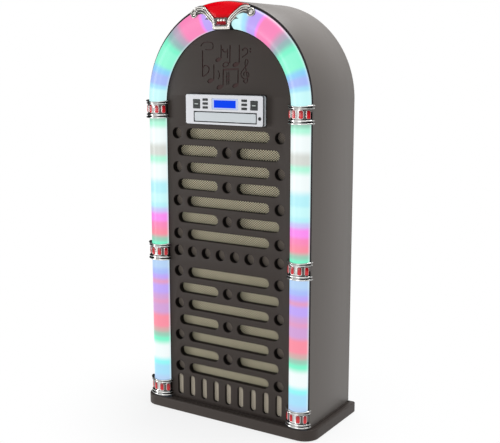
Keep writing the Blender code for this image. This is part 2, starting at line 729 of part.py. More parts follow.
def rear_panel():
    """The back, with vent slots and the inlet's opening."""
    half = INNER_HALF + REAR_REBATE_WIDTH - GAP
    panel = prism_y("rear_panel", tombstone(half, PLINTH_TOP + GAP), BACK_Y - REAR_THICKNESS, BACK_Y, "panel")
    outlines = []
    for i in range(VENT_SLOTS):
        z = REAR_VENT_HEIGHT + i * VENT_SLOT_PITCH
        outlines.append(slot(0.0, z, VENT_SLOT_LENGTH, VENT_SLOT_HEIGHT))
    width = INLET_WIDTH + 2 * GAP
    height = INLET_HEIGHT + 2 * GAP
    x, z = INLET_CENTRE
    outlines.append(rectangle(x - width / 2, x + width / 2, z - height / 2, z + height / 2))
    cut_outlines(panel, "rear_cutter", outlines, BACK_Y - REAR_THICKNESS - OVERRUN, BACK_Y + OVERRUN)


def lens_section(half_width, protrusion):
    """Half-elliptic shell section as (across, forward) points, outside then inside."""
    points = []
    for wall, angles in ((0.0, range(LENS_STEPS + 1)), (LENS_WALL, range(LENS_STEPS, -1, -1))):
        for i in angles:
            angle = math.pi * i / LENS_STEPS
            across = -(half_width - wall) * math.cos(angle)
            points.append((across, (protrusion - wall) * math.sin(angle)))
    return points


def light_tubes():
    """The four straight tube lenses, from collar to collar."""
    reach = COLLAR_LENGTH / 2 - TUBE_END_GAP
    spans = {"lower": (COLLAR_HEIGHTS[0] - reach, COLLAR_HEIGHTS[1] - TUBE_END_GAP),
             "upper": (COLLAR_HEIGHTS[1] + TUBE_END_GAP, COLLAR_HEIGHTS[2] - TUBE_END_GAP)}
    section = lens_section(TUBE_HALF_WIDTH, LENS_PROTRUSION)
    for side, sign in (("left", -1), ("right", 1)):
        outline = [(sign * TUBE_CENTRE + u, LENS_BACK_Y - v) for u, v in section]
        for place, (low, high) in spans.items():
            prism_z("light_tube_" + place + "_" + side, outline, low, high, "lens")


def arch_radii(angle):
    """Outer and inner radius of the arch lens; it widens a little towards the crown."""
    rise = math.sin(angle)
    outer = TUBE_CENTRE + TUBE_HALF_WIDTH
    inner = TUBE_CENTRE - TUBE_HALF_WIDTH
    return outer + (ARCH_OUTER_CREST - outer) * rise, inner + (ARCH_INNER_CREST - inner) * rise


def arch_loop(angle, sign):
    """The lens section stood across the arch at an angle above the springline."""
    outer, inner = arch_radii(angle)
    middle = (outer + inner) / 2
    loop = []
    for u, v in lens_section((outer - inner) / 2, LENS_PROTRUSION):
        radius = middle + u
        x = sign * radius * math.cos(angle)
        loop.append((x, LENS_BACK_Y - v, SPRINGLINE_HEIGHT + radius * math.sin(angle)))
    return loop


def arch_lenses():
    """The two halves of the arch lens, parted under the crown."""
    last = math.pi / 2 - math.asin(ARCH_HALF_PARTING / ARCH_INNER_CREST)
    for side, sign in (("left", -1), ("right", 1)):
        start = [(x, y, COLLAR_HEIGHTS[2] + TUBE_END_GAP) for x, y, _ in arch_loop(0.0, sign)]
        loops = [start] + [arch_loop(last * i / ARCH_LENS_STEPS, sign) for i in range(ARCH_LENS_STEPS + 1)]
        loft("arch_lens_" + side, loops, "lens")


def light_strip():
    """One flexible strip up the left tube, over the arch and down the right one."""
    base = COLLAR_HEIGHTS[0]
    outer = tombstone(TUBE_CENTRE + STRIP_WIDTH / 2, base)
    inner = tombstone(TUBE_CENTRE - STRIP_WIDTH / 2, base)
    prism_y("light_strip", outer + inner[::-1], LENS_BACK_Y - STRIP_THICKNESS, LENS_BACK_Y, "strip")


def window_stations(margin_stations):
    """Angles round a collar: its ends, and the sides and middle of each window."""
    stations = [-margin_stations]
    for centre in COLLAR_WINDOW_CENTRES:
        stations += [centre - COLLAR_WINDOW_HALF_ANGLE, centre, centre + COLLAR_WINDOW_HALF_ANGLE]
    return stations + [margin_stations]


def collar_point(centre_x, angle, half_width, protrusion, z):
    """A point on a half-ellipse round a tube, at an angle from straight ahead."""
    turn = math.radians(angle)
    return (centre_x + half_width * math.sin(turn), LENS_BACK_Y - protrusion * math.cos(turn), z)


def pierced_band(name, outer, inner, is_open, finish):
    """A thin wall between two equal grids of points, with some cells left open right through."""
    bm = bmesh.new()
    rows = len(outer)
    columns = len(outer[0])
    faces = [[[bm.verts.new(point) for point in row] for row in grid] for grid in (outer, inner)]
    solid = {(i, j) for i in range(rows - 1) for j in range(columns - 1) if not is_open(i, j)}
    for grid in faces:
        for i, j in sorted(solid):
            bm.faces.new((grid[i][j], grid[i + 1][j], grid[i + 1][j + 1], grid[i][j + 1]))
    for i, j in sorted(solid):
        sides = (((i - 1, j), (i, j), (i, j + 1)), ((i + 1, j), (i + 1, j), (i + 1, j + 1)),
                 ((i, j - 1), (i, j), (i + 1, j)), ((i, j + 1), (i, j + 1), (i + 1, j + 1)))
        for neighbour, one, two in sides:
            if neighbour not in solid:
                front, back = faces
                bm.faces.new((front[one[0]][one[1]], front[two[0]][two[1]],
                              back[two[0]][two[1]], back[one[0]][one[1]]))
    loose = [vert for vert in bm.verts if not vert.link_faces]
    bmesh.ops.delete(bm, geom=loose, context="VERTS")
    return add_object(name, bm, finish)


def collars():
    """Six chrome collars with four windows each, and the jewel bands behind them."""
    angles = window_stations(90.0)
    inside_a = COLLAR_HALF_WIDTH - COLLAR_WALL
    inside_b = COLLAR_PROTRUSION - COLLAR_WALL

    def is_window(i, j):
        return i % 3 in (1, 2) and j == COLLAR_WINDOW_ROW

    for level, middle in zip(("foot", "waist", "shoulder"), COLLAR_HEIGHTS):
        for side, sign in (("left", -1), ("right", 1)):
            x = sign * TUBE_CENTRE
            outer = []
            inner = []
            for angle in angles:
                front_row = []
                back_row = []
                for share, lip in zip(COLLAR_LEVEL_SHARES, COLLAR_LIP_SHARES):
                    z = middle + (share - 1 / 2) * COLLAR_LENGTH
                    flare = lip * COLLAR_LIP
                    front_row.append(collar_point(x, angle, COLLAR_HALF_WIDTH + flare,
                                                  COLLAR_PROTRUSION + flare, z))
                    back_row.append(collar_point(x, angle, inside_a, inside_b, z))
                outer.append(front_row)
                inner.append(back_row)
            pierced_band("collar_" + level + "_" + side, outer, inner, is_window, "chrome")
            jewel_band("jewels_" + level + "_" + side, x, middle)


def jewel_band(name, centre_x, middle):
    """A red strip behind a collar, with a raised stone in each window."""
    inside_a = COLLAR_HALF_WIDTH - COLLAR_WALL - GAP
    inside_b = COLLAR_PROTRUSION - COLLAR_WALL - GAP
    low = middle - JEWEL_BAND_LENGTH / 2
    row = COLLAR_WINDOW_ROW
    window = (COLLAR_LEVEL_SHARES[row + 1] - COLLAR_LEVEL_SHARES[row]) * COLLAR_LENGTH
    shoulder = window * (1 / 2 - JEWEL_SHOULDER_SHARE)
    heights = (low, middle - shoulder, middle + shoulder, low + JEWEL_BAND_LENGTH)
    loops = []
    for i, angle in enumerate(window_stations(JEWEL_BAND_SWEEP)):
        proud = JEWEL_PROUD if i % 3 == 2 and 0 < i else 0.0
        lifts = (0.0, proud, proud, 0.0)
        loop = [collar_point(centre_x, angle, inside_a + lift, inside_b + lift, z)
                for z, lift in zip(heights, lifts)]
        for z in (heights[-1], heights[0]):
            loop.append(collar_point(centre_x, angle, inside_a - JEWEL_BAND_WALL,
                                     inside_b - JEWEL_BAND_WALL, z))
        loops.append(loop)
    loft(name, loops, "jewel")


def crown_point(share):
    """A point of the crown's outline from its shares of the half span and the rise."""
    return (share[0] * CROWN_HALF_SPAN, CROWN_FOOT_HEIGHT + share[1] * CROWN_RISE)


def crown_outline():
    """The ornament's right half from the foot round the volute to the bar, then its mirror."""
    neck = [crown_point(share) for share in CROWN_NECK_SHARES]
    volute = arc(VOLUTE_CENTRE_X, VOLUTE_CENTRE_Z, VOLUTE_RADIUS, 200.0, 470.0, VOLUTE_STEPS)
    arm = [crown_point(share) for share in CROWN_ARM_SHARES + CROWN_BAR_SHARES]
    right = neck + volute + arm
    left = [(-x, z) for x, z in reversed(right)]
    return right + [crown_point((0.0, CROWN_BAR_MIDDLE_SHARE))] + left


def crown():
    """The chrome ornament, its leg that passes between the lenses, and the stone in its window."""
    front = CROWN_BACK_Y - CROWN_THICKNESS
    ornament = prism_y("crown_ornament", crown_outline(), front, CROWN_BACK_Y, "chrome")
    leg = rectangle(-CROWN_LEG_HALF_WIDTH, CROWN_LEG_HALF_WIDTH,
                    CROWN_FOOT_HEIGHT + CROWN_LEG_LOW, CROWN_FOOT_HEIGHT + CROWN_LEG_HIGH)
    join_block(ornament, "crown_leg", [along_y(leg, front + CROWN_LEG_SETBACK), along_y(leg, LENS_BACK_Y)])
    window = [crown_point(share) for share in CROWN_WINDOW_SHARES]
    cut_outlines(ornament, "crown_window_cutter", [window], front - OVERRUN, CROWN_BACK_Y - STONE_SEAT)
    low, high = CROWN_WINDOW_SHARES[0][1], CROWN_WINDOW_SHARES[2][1]
    scale_u = 1 - 2 * GAP / (CROWN_WINDOW_SHARES[2][0] * CROWN_HALF_SPAN)
    scale_v = 1 - 2 * GAP / ((high - low) * CROWN_RISE)
    middle = (low + high) / 2
    stone = [crown_point((u * scale_u, middle + (v - middle) * scale_v)) for u, v in CROWN_WINDOW_SHARES]
    back = CROWN_BACK_Y - STONE_SEAT - GAP
    prism_y("crown_stone", stone, back - STONE_THICKNESS, back, "jewel")


def dome_outline(scale=1.0):
    """The dome's edge: up along the arms, over the top with the arch, and back down."""
    radius = CABINET_HALF - DOME_EDGE_INSET
    arms = [crown_point(share) for share in reversed(CROWN_ARM_SHARES)]
    edge = [(x, z + DOME_LIFT) for x, z in arms]
    half_angle = math.degrees(math.asin(DOME_HALF_SPAN / radius))
    top = arc(0.0, SPRINGLINE_HEIGHT, radius, 90.0 - half_angle, 90.0 + half_angle, DOME_TOP_STEPS)
    outline = edge + top + [(-x, z) for x, z in reversed(edge)]
    crest = SPRINGLINE_HEIGHT + radius
    centre = crest - DOME_CENTRE_SHARE * (crest - edge[0][1])
    return [(x * scale, centre + (z - centre) * scale) for x, z in outline]


def crown_dome():
    """A pillowed red dome whose skirt closes the top down to the cabinet's front edge."""
    loops = [along_y(dome_outline(), CROWN_BACK_Y)]
    for scale, rise in DOME_CROWN_SHARES:
        loops.append(along_y(dome_outline(scale), CROWN_BACK_Y - DOME_EDGE - rise * DOME_BULGE))
    dome = loft("crown_dome", loops, "jewel")
    radius = CABINET_HALF - DOME_EDGE_INSET
    half_angle = math.degrees(math.asin(DOME_HALF_SPAN / radius))
    span = (90.0 - half_angle, 90.0 + half_angle)
    skirt = arc(0.0, SPRINGLINE_HEIGHT, radius, *span, DOME_TOP_STEPS)
    skirt += arc(0.0, SPRINGLINE_HEIGHT, radius - DOME_SKIRT, *reversed(span), DOME_TOP_STEPS)
    join_block(dome, "dome_skirt", [along_y(skirt, CROWN_BACK_Y - DOME_EDGE / 2), along_y(skirt, LENS_BACK_Y)])


def eased_block(name, centre, width, height, radius, edge, front, back, finish, origin=(0.0, 0.0, 0.0)):
    """A round-cornered block in the fascia's plane, whose front edge is eased."""
    small = rounded_rectangle(centre, width - 2 * edge, height - 2 * edge, max(radius - edge, radius / 4))
    full = rounded_rectangle(centre, width, height, radius)
    loops = [along_y(small, front), along_y(full, front + edge), along_y(full, back)]
    return loft(name, loops, finish, origin)


def button_places():
    """Each button's name and centre."""
    places = []
    for side, x in BUTTON_COLUMNS:
        for row, step in (("top", 1), ("middle", 0), ("bottom", -1)):
            places.append(("button_" + side + "_" + row, (x, BUTTON_MIDDLE + step * BUTTON_PITCH)))
    return places


def fascia_openings():
    """Openings in the fascia for everything that shows through it."""
    gap = 2 * GAP
    openings = [rounded_rectangle(DISPLAY_CENTRE, DISPLAY_WIDTH + gap, DISPLAY_HEIGHT + gap, DISPLAY_CORNER)]
    for _, centre in button_places():
        openings.append(rounded_rectangle(centre, BUTTON_WIDTH + gap, BUTTON_HEIGHT + gap, BUTTON_CORNER, 1))
    wide = 2 * ROCKER_CLEARANCE
    for _, x in ROCKER_CENTRES:
        centre = (x, ROCKER_MIDDLE)
        openings.append(rounded_rectangle(centre, ROCKER_WIDTH + wide, ROCKER_HEIGHT + wide, BUTTON_CORNER, 1))
    wide = 2 * DOOR_CLEARANCE
    openings.append(rounded_rectangle(DOOR_CENTRE, DOOR_WIDTH + wide, DOOR_HEIGHT + wide, DOOR_CORNER))
    openings.append(circle(JACK_X, JACK_Z, JACK_RADIUS + GAP, JACK_STEPS))
    return openings


def control_fascia():
    """The silver moulding: a hollow box with openings, and bosses that hold the control board."""
    middle = (FASCIA_LOW + FASCIA_HIGH) / 2
    height = FASCIA_HIGH - FASCIA_LOW
    fascia = eased_block("control_fascia", (0.0, middle), FASCIA_WIDTH, height, FASCIA_CORNER_RADIUS,
                         FASCIA_EDGE, FASCIA_FRONT, LENS_BACK_Y, "silver")
    inside = rounded_rectangle((0.0, middle), FASCIA_WIDTH - 2 * FASCIA_WALL, height - 2 * FASCIA_WALL,
                               FASCIA_CORNER_RADIUS - FASCIA_WALL)
    cut_outlines(fascia, "fascia_hollow_cutter", [inside], FASCIA_INSIDE, LENS_BACK_Y + OVERRUN)
    x = FASCIA_WIDTH / 2 - BOSS_INSET
    bm = bmesh.new()
    for side in (-1, 1):
        for z in (BOARD_LOW + BOSS_CORNER, FASCIA_HIGH - BOSS_INSET):
            boss = circle(side * x, z, BOSS_RADIUS, POST_STEPS)
            add_loft(bm, [along_y(boss, FASCIA_INSIDE - FASCIA_WALL / 2), along_y(boss, BOARD_FACE - GAP)])
    apply_shape(fascia, add_object("fascia_bosses", bm, "silver"), "UNION")
    cut_outlines(fascia, "fascia_cutter", fascia_openings(), FASCIA_FRONT - OVERRUN, FASCIA_INSIDE + GAP)


def display_window():
    """The display, seated in the fascia and against the board."""
    eased_block("display_window", DISPLAY_CENTRE, DISPLAY_WIDTH, DISPLAY_HEIGHT, DISPLAY_CORNER, DISPLAY_EDGE,
                FASCIA_FRONT, BOARD_FACE - GAP, "display")


def buttons():
    """Six small caps with a flange behind the fascia that keeps them in."""
    front = FASCIA_FRONT - BUTTON_PROUD
    shelf = FASCIA_INSIDE + GAP
    rear = shelf + BUTTON_FLANGE_THICKNESS
    for name, centre in button_places():
        loops = []
        for inset, y in ((BUTTON_EDGE, front), (0.0, front + BUTTON_EDGE), (0.0, shelf),
                         (-BUTTON_FLANGE, shelf), (-BUTTON_FLANGE, rear)):
            outline = rounded_rectangle(centre, BUTTON_WIDTH - 2 * inset, BUTTON_HEIGHT - 2 * inset,
                                        BUTTON_CORNER, 1)
            loops.append(along_y(outline, y))
        loft(name, loops, "key", (centre[0], front, centre[1]))


def rocker_axis_y():
    """The rocker keys pivot on pins that lie just behind the fascia's wall."""
    return FASCIA_INSIDE + GAP + ROCKER_PIN_RADIUS


def rockers():
    """Two tall keys, dished at the middle, each on a cross pin."""
    front = FASCIA_FRONT - ROCKER_PROUD
    axis = rocker_axis_y()
    rear = axis + ROCKER_TAIL
    half = ROCKER_HEIGHT / 2
    for side, x in ROCKER_CENTRES:
        profile = [(front, half - ROCKER_EDGE), (front + ROCKER_DISH, 0.0), (front, -half + ROCKER_EDGE),
                   (front + ROCKER_EDGE, -half), (rear, -half), (rear, half), (front + ROCKER_EDGE, half)]
        loops = [[(x + u, y, ROCKER_MIDDLE + z) for y, z in profile]
                 for u in (-ROCKER_WIDTH / 2, ROCKER_WIDTH / 2)]
        rocker = loft("rocker_" + side, loops, "key", (x, axis, ROCKER_MIDDLE))
        reach = ROCKER_WIDTH / 2 + ROCKER_PIN_LENGTH
        pin = circle(axis, ROCKER_MIDDLE, ROCKER_PIN_RADIUS, PIN_STEPS)
        ends = [[(x + u, y, z) for y, z in pin] for u in (-reach, reach)]
        join_block(rocker, "rocker_pin_" + side, ends)


def control_board():
    """The circuit board behind the keys, with a switch under each."""
    half = FASCIA_WIDTH / 2 - FASCIA_WALL - BOARD_EDGE
    outline = rectangle(-half, half, BOARD_LOW, FASCIA_HIGH - FASCIA_WALL - BOARD_TOP_CLEARANCE)
    board = prism_y("control_board", outline, BOARD_FACE, BOARD_FACE + BOARD_PLATE, "circuit")
    bm = bmesh.new()
    button_rear = FASCIA_INSIDE + GAP + BUTTON_FLANGE_THICKNESS
    switches = [(centre, button_rear + BUTTON_TRAVEL + GAP) for _, centre in button_places()]
    rocker_rear = rocker_axis_y() + ROCKER_TAIL
    stroke = math.sin(math.radians(ROCKER_TILT)) * ROCKER_HEIGHT / 2
    for _, x in ROCKER_CENTRES:
        for side in (-1, 1):
            spot = (x, ROCKER_MIDDLE + side * ROCKER_HEIGHT / 3)
            switches.append((spot, rocker_rear + stroke + GAP))
    for (x, z), front in switches:
        square = rectangle(x - SWITCH_SIZE / 2, x + SWITCH_SIZE / 2, z - SWITCH_SIZE / 2, z + SWITCH_SIZE / 2)
        add_loft(bm, [along_y(square, front), along_y(square, BOARD_FACE + BOARD_PLATE / 2)])
    apply_shape(board, add_object("switch_blocks", bm, "key"), "UNION")


def audio_socket():
    """The round socket at the right of the door."""
    profile = [(JACK_BORE, -JACK_RIM_PROUD), (JACK_RIM, -JACK_RIM_PROUD), (JACK_RIM, -GAP),
               (JACK_RADIUS, -GAP), (JACK_RADIUS, JACK_LENGTH), (JACK_BORE, JACK_LENGTH)]
    revolve("audio_socket", profile, (JACK_X, FASCIA_FRONT, JACK_Z), "Y", JACK_STEPS, "key", closed=True)


def rack_outline():
    """The rack's plan: a straight back and straight-sided teeth that face +X."""
    pitch = math.pi * GEAR_MODULE
    slope = math.tan(math.radians(PRESSURE_ANGLE))
    addendum = TOOTH_ADDENDUM_SHARE * GEAR_MODULE
    dedendum = TOOTH_DEDENDUM_SHARE * GEAR_MODULE
    half_tooth = (pitch / 2 - TOOTH_BACKLASH) / 2
    tip = RACK_PITCH_LINE + addendum
    root = RACK_PITCH_LINE - dedendum
    count = math.ceil((TRAY_TRAVEL + 2 * RACK_LEAD) / pitch)
    start = GEAR_Y - pitch
    points = [(root - RACK_BACK, start + pitch * count), (root - RACK_BACK, start)]
    for k in range(count):
        middle = start + (k + 1 / 2) * pitch
        wide = half_tooth + dedendum * slope
        narrow = half_tooth - addendum * slope
        points += [(root, middle - wide), (tip, middle - narrow), (tip, middle + narrow), (root, middle + wide)]
    return points


def gear_outline():
    """Involute teeth on the loading gear; at rest one tooth stands in a space of the rack."""
    alpha = math.radians(PRESSURE_ANGLE)
    base = GEAR_RADIUS * math.cos(alpha)
    addendum = TOOTH_ADDENDUM_SHARE * GEAR_MODULE
    dedendum = TOOTH_DEDENDUM_SHARE * GEAR_MODULE
    half_at_pitch = (math.pi * GEAR_MODULE / 2 - TOOTH_BACKLASH) / 2 / GEAR_RADIUS
    flank = []
    for radius in (GEAR_RADIUS - dedendum, GEAR_RADIUS, GEAR_RADIUS + addendum):
        turn = math.acos(min(1.0, base / radius))
        drift = math.tan(alpha) - alpha - (math.tan(turn) - turn)
        flank.append((radius, half_at_pitch + drift))
    points = []
    for tooth in range(GEAR_TEETH):
        middle = math.pi + math.tau * tooth / GEAR_TEETH
        for radius, half in flank:
            points.append((radius * math.cos(middle - half), radius * math.sin(middle - half)))
        for radius, half in reversed(flank):
            points.append((radius * math.cos(middle + half), radius * math.sin(middle + half)))
    return [(GEAR_X + x, GEAR_Y + y) for x, y in points]


def gear_low():
    """The underside of the loading gear, which runs just below the tray."""
    return TRAY_LOW - GEAR_DROP - GEAR_THICKNESS


def loading_gear():
    """The pinion that drives the tray's rack."""
    low = gear_low()
    gear = prism_z("loading_gear", gear_outline(), low, low + GEAR_THICKNESS, "silver", (GEAR_X, GEAR_Y, low))
    bore = circle(GEAR_X, GEAR_Y, GEAR_BORE, POST_STEPS)
    cut_outlines(gear, "gear_bore_cutter", [bore], low - OVERRUN, low + GEAR_THICKNESS + OVERRUN, "Z")


def tray_plan():
    """Front and rear of the tray's plate."""
    return FASCIA_FRONT + DOOR_THICKNESS + GAP, DISC_Y + DISC_RADIUS + TRAY_TAIL


def disc_tray():
    """The drawer: two disc wells, a slot for the pickup, a rack below, and the door on its front."""
    front, rear = tray_plan()
    middle = (0.0, (front + rear) / 2)
    plan = rounded_rectangle(middle, TRAY_WIDTH, rear - front, TRAY_CORNER)
    tray = prism_z("disc_tray", plan, TRAY_LOW, TRAY_TOP, "moulding", (0.0, front, TRAY_LOW))
    bm = bmesh.new()
    add_loft(bm, [along_z(rack_outline(), TRAY_LOW - RACK_DEPTH), along_z(rack_outline(), TRAY_TOP - RACK_DEPTH)])
    apply_shape(tray, add_object("rack_teeth", bm, "moulding"), "UNION")
    well = TRAY_TOP - DISC_WELL_DEPTH
    large = circle(0.0, DISC_Y, DISC_RADIUS + DISC_CLEARANCE, WELL_STEPS)
    cut_outlines(tray, "disc_well_cutter", [large], well, TRAY_TOP + OVERRUN, "Z")
    small = circle(0.0, DISC_Y, SMALL_DISC_RADIUS + DISC_CLEARANCE, WELL_STEPS)
    cut_outlines(tray, "small_well_cutter", [small], well - SMALL_WELL_DEPTH, TRAY_TOP + OVERRUN, "Z")
    reach = slot(0.0, DISC_Y + (TRAY_SLOT_REACH - TRAY_SLOT_RADIUS) / 2, TRAY_SLOT_RADIUS + TRAY_SLOT_REACH,
                 2 * TRAY_SLOT_RADIUS, upright=True)
    cut_outlines(tray, "pickup_slot_cutter", [reach], TRAY_LOW - OVERRUN, TRAY_TOP + OVERRUN, "Z")
    eased_block("tray_door", DOOR_CENTRE, DOOR_WIDTH, DOOR_HEIGHT, DOOR_CORNER, DOOR_EDGE,
                FASCIA_FRONT - DOOR_PROUD, FASCIA_FRONT + DOOR_THICKNESS, "silver")


def chassis_profile():
    """Cross-section of the player's chassis: a floor, two walls and the tray's runners."""
    inner = TRAY_WIDTH / 2 + GAP
    outer = inner + CHASSIS_WALL
    lip = inner - CHASSIS_LIP
    floor = CHASSIS_LOW + CHASSIS_FLOOR
    under = TRAY_LOW - GAP
    over = TRAY_TOP + GAP
    right = [(outer, CHASSIS_LOW), (outer, CHASSIS_TOP), (lip, CHASSIS_TOP), (lip, over), (inner, over),
             (inner, under), (lip, under), (lip, under - CHASSIS_LIP_THICKNESS),
             (inner, under - CHASSIS_LIP_THICKNESS), (inner, floor)]
    return right + [(-x, z) for x, z in reversed(right)]


def player_chassis():
    """The frame behind the fascia, with ears for the baffle, the gear's post and the pivot cheeks."""
    front = BAFFLE_BACK + GAP
    chassis = prism_y("player_chassis", chassis_profile(), front, CHASSIS_REAR, "moulding")
    outer = TRAY_WIDTH / 2 + GAP + CHASSIS_WALL
    floor = CHASSIS_LOW + CHASSIS_FLOOR
    pivot_y, pivot_z = CRADLE_PIVOT
    for side, sign in (("left", -1), ("right", 1)):
        ends = sorted((sign * (outer - CHASSIS_WALL / 2), sign * (outer + CHASSIS_EAR_WIDTH)))
        ear = rectangle(*ends, CHASSIS_LOW + GAP, CHASSIS_TOP - GAP)
        loops = [along_y(ear, front + GAP), along_y(ear, front + CHASSIS_EAR_THICKNESS)]
        join_block(chassis, "chassis_ear_" + side, loops)
        near = CRADLE_HALF_WIDTH + GAP
        ends = sorted((sign * near, sign * (near + CHEEK_THICKNESS)))
        cheek = rectangle(*ends, pivot_y - CHEEK_HALF_LENGTH, pivot_y + CHEEK_HALF_LENGTH)
        join_block(chassis, "pivot_cheek_" + side, [along_z(cheek, floor - CHASSIS_FLOOR / 2),
                                                    along_z(cheek, CHEEK_TOP)])
    foot = -CHASSIS_FLOOR / 2
    shoulder = gear_low() - GAP - floor
    tip = gear_low() + GEAR_THICKNESS - floor
    profile = [(0.0, foot), (POST_SHOULDER, foot), (POST_SHOULDER, shoulder), (POST_RADIUS, shoulder),
               (POST_RADIUS, tip), (0.0, tip)]
    post = revolve("gear_post", profile, (GEAR_X, GEAR_Y, floor), "Z", POST_STEPS, "moulding")
    apply_shape(chassis, post, "UNION")
    reach = CRADLE_HALF_WIDTH + 2 * CHEEK_THICKNESS
    hole = circle(pivot_y, pivot_z, CRADLE_PIN_RADIUS + GAP, POST_STEPS)
    bm = bmesh.new()
    add_loft(bm, [[(x, y, z) for y, z in hole] for x in (-reach, reach)])
    apply_shape(chassis, add_object("pivot_hole_cutter", bm, "key"))


def pickup_cradle():
    """The tilting plate under the tray: its cross pin, the disc motor and the sled's window."""
    pivot_y, pivot_z = CRADLE_PIVOT
    plan = rectangle(-CRADLE_HALF_WIDTH, CRADLE_HALF_WIDTH, CRADLE_FRONT, pivot_y + CRADLE_TAIL)
    cradle = prism_z("pickup_cradle", plan, CRADLE_LOW, CRADLE_TOP, "steel", (0.0, pivot_y, pivot_z))
    pin = circle(pivot_y, pivot_z, CRADLE_PIN_RADIUS, POST_STEPS)
    ends = [[(x, y, z) for y, z in pin] for x in (-CRADLE_PIN_REACH, CRADLE_PIN_REACH)]
    join_block(cradle, "cradle_pin", ends)
    motor = circle(0.0, DISC_Y, MOTOR_RADIUS, SPEAKER_STEPS)
    low = CRADLE_LOW - MOTOR_DEPTH
    join_block(cradle, "disc_motor", [along_z(motor, low), along_z(motor, CRADLE_TOP - CRADLE_THICKNESS / 2)])
    half = SLED_WIDTH / 2 + GAP
    window = rectangle(-half, half, DISC_Y + MOTOR_RADIUS + GAP, pivot_y - CRADLE_WINDOW_MARGIN)
    cut_outlines(cradle, "sled_window_cutter", [window], low - OVERRUN, CRADLE_TOP + OVERRUN, "Z")
    bore = circle(0.0, DISC_Y, SHAFT_RADIUS + GAP, PIN_STEPS)
    cut_outlines(cradle, "shaft_bore_cutter", [bore], CRADLE_LOW - GAP, CRADLE_TOP + OVERRUN, "Z")


def disc_turntable():
    """The turntable, whose nose centres the disc, on the motor's shaft."""
    shaft = CRADLE_LOW + GAP - TURNTABLE_LOW
    top = TURNTABLE_THICKNESS + SPINDLE_RISE
    profile = [(0.0, shaft), (SHAFT_RADIUS, shaft), (SHAFT_RADIUS, 0.0), (TURNTABLE_RADIUS, 0.0),
               (TURNTABLE_RADIUS, TURNTABLE_THICKNESS), (SPINDLE_RADIUS, TURNTABLE_THICKNESS),
               (SPINDLE_RADIUS, (TURNTABLE_THICKNESS + top) / 2), (SPINDLE_RADIUS * SPINDLE_NOSE_SHARE, top),
               (0.0, top)]
    revolve("disc_turntable", profile, (0.0, DISC_Y, TURNTABLE_LOW), "Z", TURN_STEPS, "moulding")


def laser_sled():
    """The laser's carriage with its lens, in the cradle's window."""
    near = DISC_Y + SLED_NEAR
    plan = rectangle(-SLED_WIDTH / 2, SLED_WIDTH / 2, near - SLED_LENGTH / 2, near + SLED_LENGTH / 2)
    top = SLED_LOW + SLED_HEIGHT
    sled = prism_z("laser_sled", plan, SLED_LOW, top, "moulding", (0.0, near, SLED_LOW))
    lens = circle(0.0, near, LENS_RADIUS, POST_STEPS)
    join_block(sled, "laser_lens", [along_z(lens, top - LENS_RISE), along_z(lens, top + LENS_RISE)])


def clamp():
    """The bridge over the tray and the clamp that hangs in it."""
    half = TRAY_WIDTH / 2 + GAP + CHASSIS_WALL
    low = CHASSIS_TOP + GAP
    high = low + BRIDGE_THICKNESS
    plan = rectangle(-half, half, DISC_Y - BRIDGE_WIDTH / 2, DISC_Y + BRIDGE_WIDTH / 2)
    bridge = prism_z("clamp_bridge", plan, low, high, "steel")
    hole = circle(0.0, DISC_Y, CLAMP_HOLE_RADIUS, POST_STEPS)
    cut_outlines(bridge, "clamp_hole_cutter", [hole], low - OVERRUN, high + OVERRUN, "Z")
    cap = high + GAP - CLAMP_LOW
    profile = [(0.0, CLAMP_RECESS_DEPTH), (CLAMP_RECESS_RADIUS, CLAMP_RECESS_DEPTH),
               (CLAMP_RECESS_RADIUS, 0.0), (CLAMP_RADIUS, 0.0), (CLAMP_RADIUS, CLAMP_THICKNESS),
               (CLAMP_NECK_RADIUS, CLAMP_THICKNESS), (CLAMP_NECK_RADIUS, cap), (CLAMP_CAP_RADIUS, cap),
               (CLAMP_CAP_RADIUS, cap + CLAMP_CAP_THICKNESS), (0.0, cap + CLAMP_CAP_THICKNESS)]
    revolve("disc_clamp", profile, (0.0, DISC_Y, CLAMP_LOW), "Z", TURN_STEPS, "moulding")


def box_loops(centre, size, low):
    """The two loops of an upright box that stands at a height."""
    x, y = centre
    plan = rectangle(x - size[0] / 2, x + size[0] / 2, y - size[1] / 2, y + size[1] / 2)
    return [along_z(plan, low), along_z(plan, low + size[2])]


